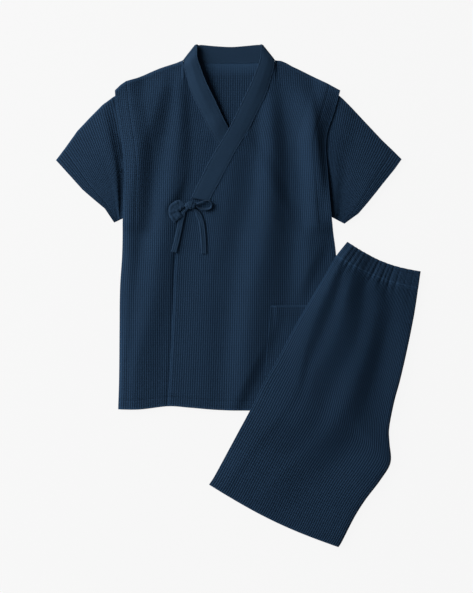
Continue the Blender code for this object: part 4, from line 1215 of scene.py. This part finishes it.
def openLoop(name, points, low, tall, node):
    line = smoothLine(points, 90)
    out = sideways(line) * tie["cloth"] / 2
    share = np.array([0, 0.06, 0.3, 0.6, 0.94, 1, 1, 0.94, 0.6, 0.3, 0.06, 0])
    face = np.array([-0.5, -1, -1, -1, -1, -0.5, 0.5, 1, 1, 1, 1, 0.5])
    xy = line[:, None, :] + out[:, None, :] * face[None, :, None]
    lower = smooth(434, 427, line[:, 1])[:, None]
    y = xy[..., 1] - (1.5 + 3.0 * lower) * share[None, :]
    z = low + tall * np.tile(share, (len(line), 1))
    rings = np.dstack([xy[..., 0], y, z])
    count, size = len(line), len(share)
    run = np.linspace(0, 110, count)
    grain = np.dstack([np.tile(share * tall * 2, (count, 1)), np.tile(run[:, None], (1, size))])
    faces = tube(count, size, flip=True)
    mesh = rawMesh(name, rings.reshape(-1, 3), faces, None, grain.reshape(-1, 2))
    return settle(plainPiece(name, mesh, smoothNavy), "plain_cotton", node)


def makeKnot():
    rows, wide = 33, 64
    polar = np.linspace(0.0001, math.pi - 0.0001, rows)[:, None]
    turn = np.linspace(0, 2 * math.pi, wide, endpoint=False)[None, :]
    x = np.sin(polar) * np.cos(turn)
    y = np.sin(polar) * np.sin(turn)
    z = np.cos(polar) + 0 * turn
    swell = 1 - 0.05 * np.cos(9 * y + 2 * x)
    for at, lean, spread, deep in ((0.42, 0.25, 0.12, 0.16), (-0.05, 0.1, 0.08, 0.07),
                                   (-0.48, -0.3, 0.1, 0.15)):
        swell = swell - deep * np.exp(-((x - lean * y - at) / spread) ** 2)
    kx, ky = tie["knot"]
    hx, hy, hz = tie["half"]
    points = np.dstack([kx + hx * x * swell, ky + hy * y * swell,
                        knotLow + hz * (1 + z * swell) + layerGap]).reshape(-1, 3)
    grain = np.dstack([np.tile(turn * 9, (rows, 1)), np.tile(polar * 9, (1, wide))])
    mesh = rawMesh("knot", points, tube(rows, wide, flip=True), None, grain.reshape(-1, 2))
    return settle(plainPiece("tie_knot_wrap", mesh, smoothNavy), "plain_cotton", "tie_knot")


def makeTie():
    knot = makeKnot()
    tailLeft = strip("tie_tail_left_strap", [(-96, 414), (-104, 380), (-110, 352), (-115.5, 331)],
                     0.35, tie["width"], 1.0, "tie_tail_left")
    tailRight = strip("tie_tail_right_strap", [(-66, 414), (-58, 396), (-54, 365), (-52.5, 328)],
                      0.35, tie["width"], 1.0, "tie_tail_right")
    loopLeft = strip("tie_loop_left_strap",
                     [(-100, 430), (-108, 428.5), (-115, 422), (-114.5, 411), (-106, 400)],
                     2.2, tie["loopWidth"], 3.2, "tie_loop_left")
    near = knotExit((-55, 433), tie["half"][2])
    loop = [(near[0], near[1] + 1.4), (-60, 436.5), (-50, 440), (-40, 438.5), (-36, 432),
            (-40, 426), (-50, 424), (-60, 425.5), (near[0], near[1] - 1.6)]
    loopRight = openLoop("tie_loop_right_strap", loop, knotLow + 1.2, 5.2, "tie_loop_right")
    return knot, tailLeft, tailRight, loopLeft, loopRight


tieKnot, tailLeft, tailRight, loopLeft, loopRight = makeTie()
print("tie in its bow")


# Stitching

def stitchLines(name, lines):
    curve = bpy.data.curves.new(name, "CURVE")
    curve.dimensions = "3D"
    for line in lines:
        spots = place(line)
        spline = curve.splines.new("POLY")
        spline.points.add(len(spots) - 1)
        spline.points.foreach_set("co", np.hstack([spots, np.ones((len(spots), 1))]).ravel())
    source = bpy.data.objects.new(name + "Source", curve)
    piece = throughTree(source, stitchTree, name, Finish=threadNavy)
    return settle(piece, "plain_cotton")


def overCloth(x, y, heightOf, sunk=0.28):
    x, y = np.broadcast_arrays(np.asarray(x, float), np.asarray(y, float))
    return np.stack([x, y, heightOf(x, y) + cloth - sunk], axis=-1)


def makeStitches():
    lines = []
    x = np.linspace(-231, -130, 60)
    lines.append(overCloth(x, through(hem, x) + panels["hemLine"], rightFrontLow, 0.42))
    x = np.linspace(-127, 30, 90)
    lines.append(overCloth(x, through(hem, x) + panels["hemLine"], leftFrontLow, 0.42))
    for sign, table, lowOf in ((-1, leftSide, rightFrontLow), (1, rightSide, leftFrontLow)):
        y = np.linspace(392, 664, 90)
        x = sign * (through(table, y) - flange + 1)
        lines.append(overCloth(x, y, lowOf, 0.42))
    y = np.linspace(24, 415, 200)
    lines.append(overCloth(through(frontEdge, y) + 7, y, leftFrontLow))
    for upper, lower in (rightHems, leftHems):
        lines.append(upper[4:-4] - (0, 0, 0.25))
        lines.append(lower[4:-4] + (0, 0, 0.25))
    stitchLines("stitches_jacket", lines)
    pocketTop = np.dstack([pocketPlan, pocketLow + cloth - 0.25])
    hemRow = int(np.argmin(np.abs(pocketTop[0, :, 1] - 199)))
    stitchLines("stitches_pocket", [pocketTop[3, :-2], pocketTop[3:-3, 1], pocketTop[3:-3, hemRow]])
    legTop = np.dstack([legPlan, legLow + cloth - 0.25])
    waistTop = np.dstack([waistPlan, waistLow + cloth - 0.35])
    stitchLines("stitches_shorts", [legTop[2:-2, 8], waistTop[2:-2, 4], waistTop[2:-2, 20]])
    bandLines = []
    shares = list(collarShape["shares"])
    for s in (0.07, 0.93):
        bandLines.append(collarRings[4:-4, len(shares) + 1 + shares.index(s)] + (0, 0, 0.1))
    stitchLines("stitches_collar", bandLines)


makeStitches()
print("stitched")
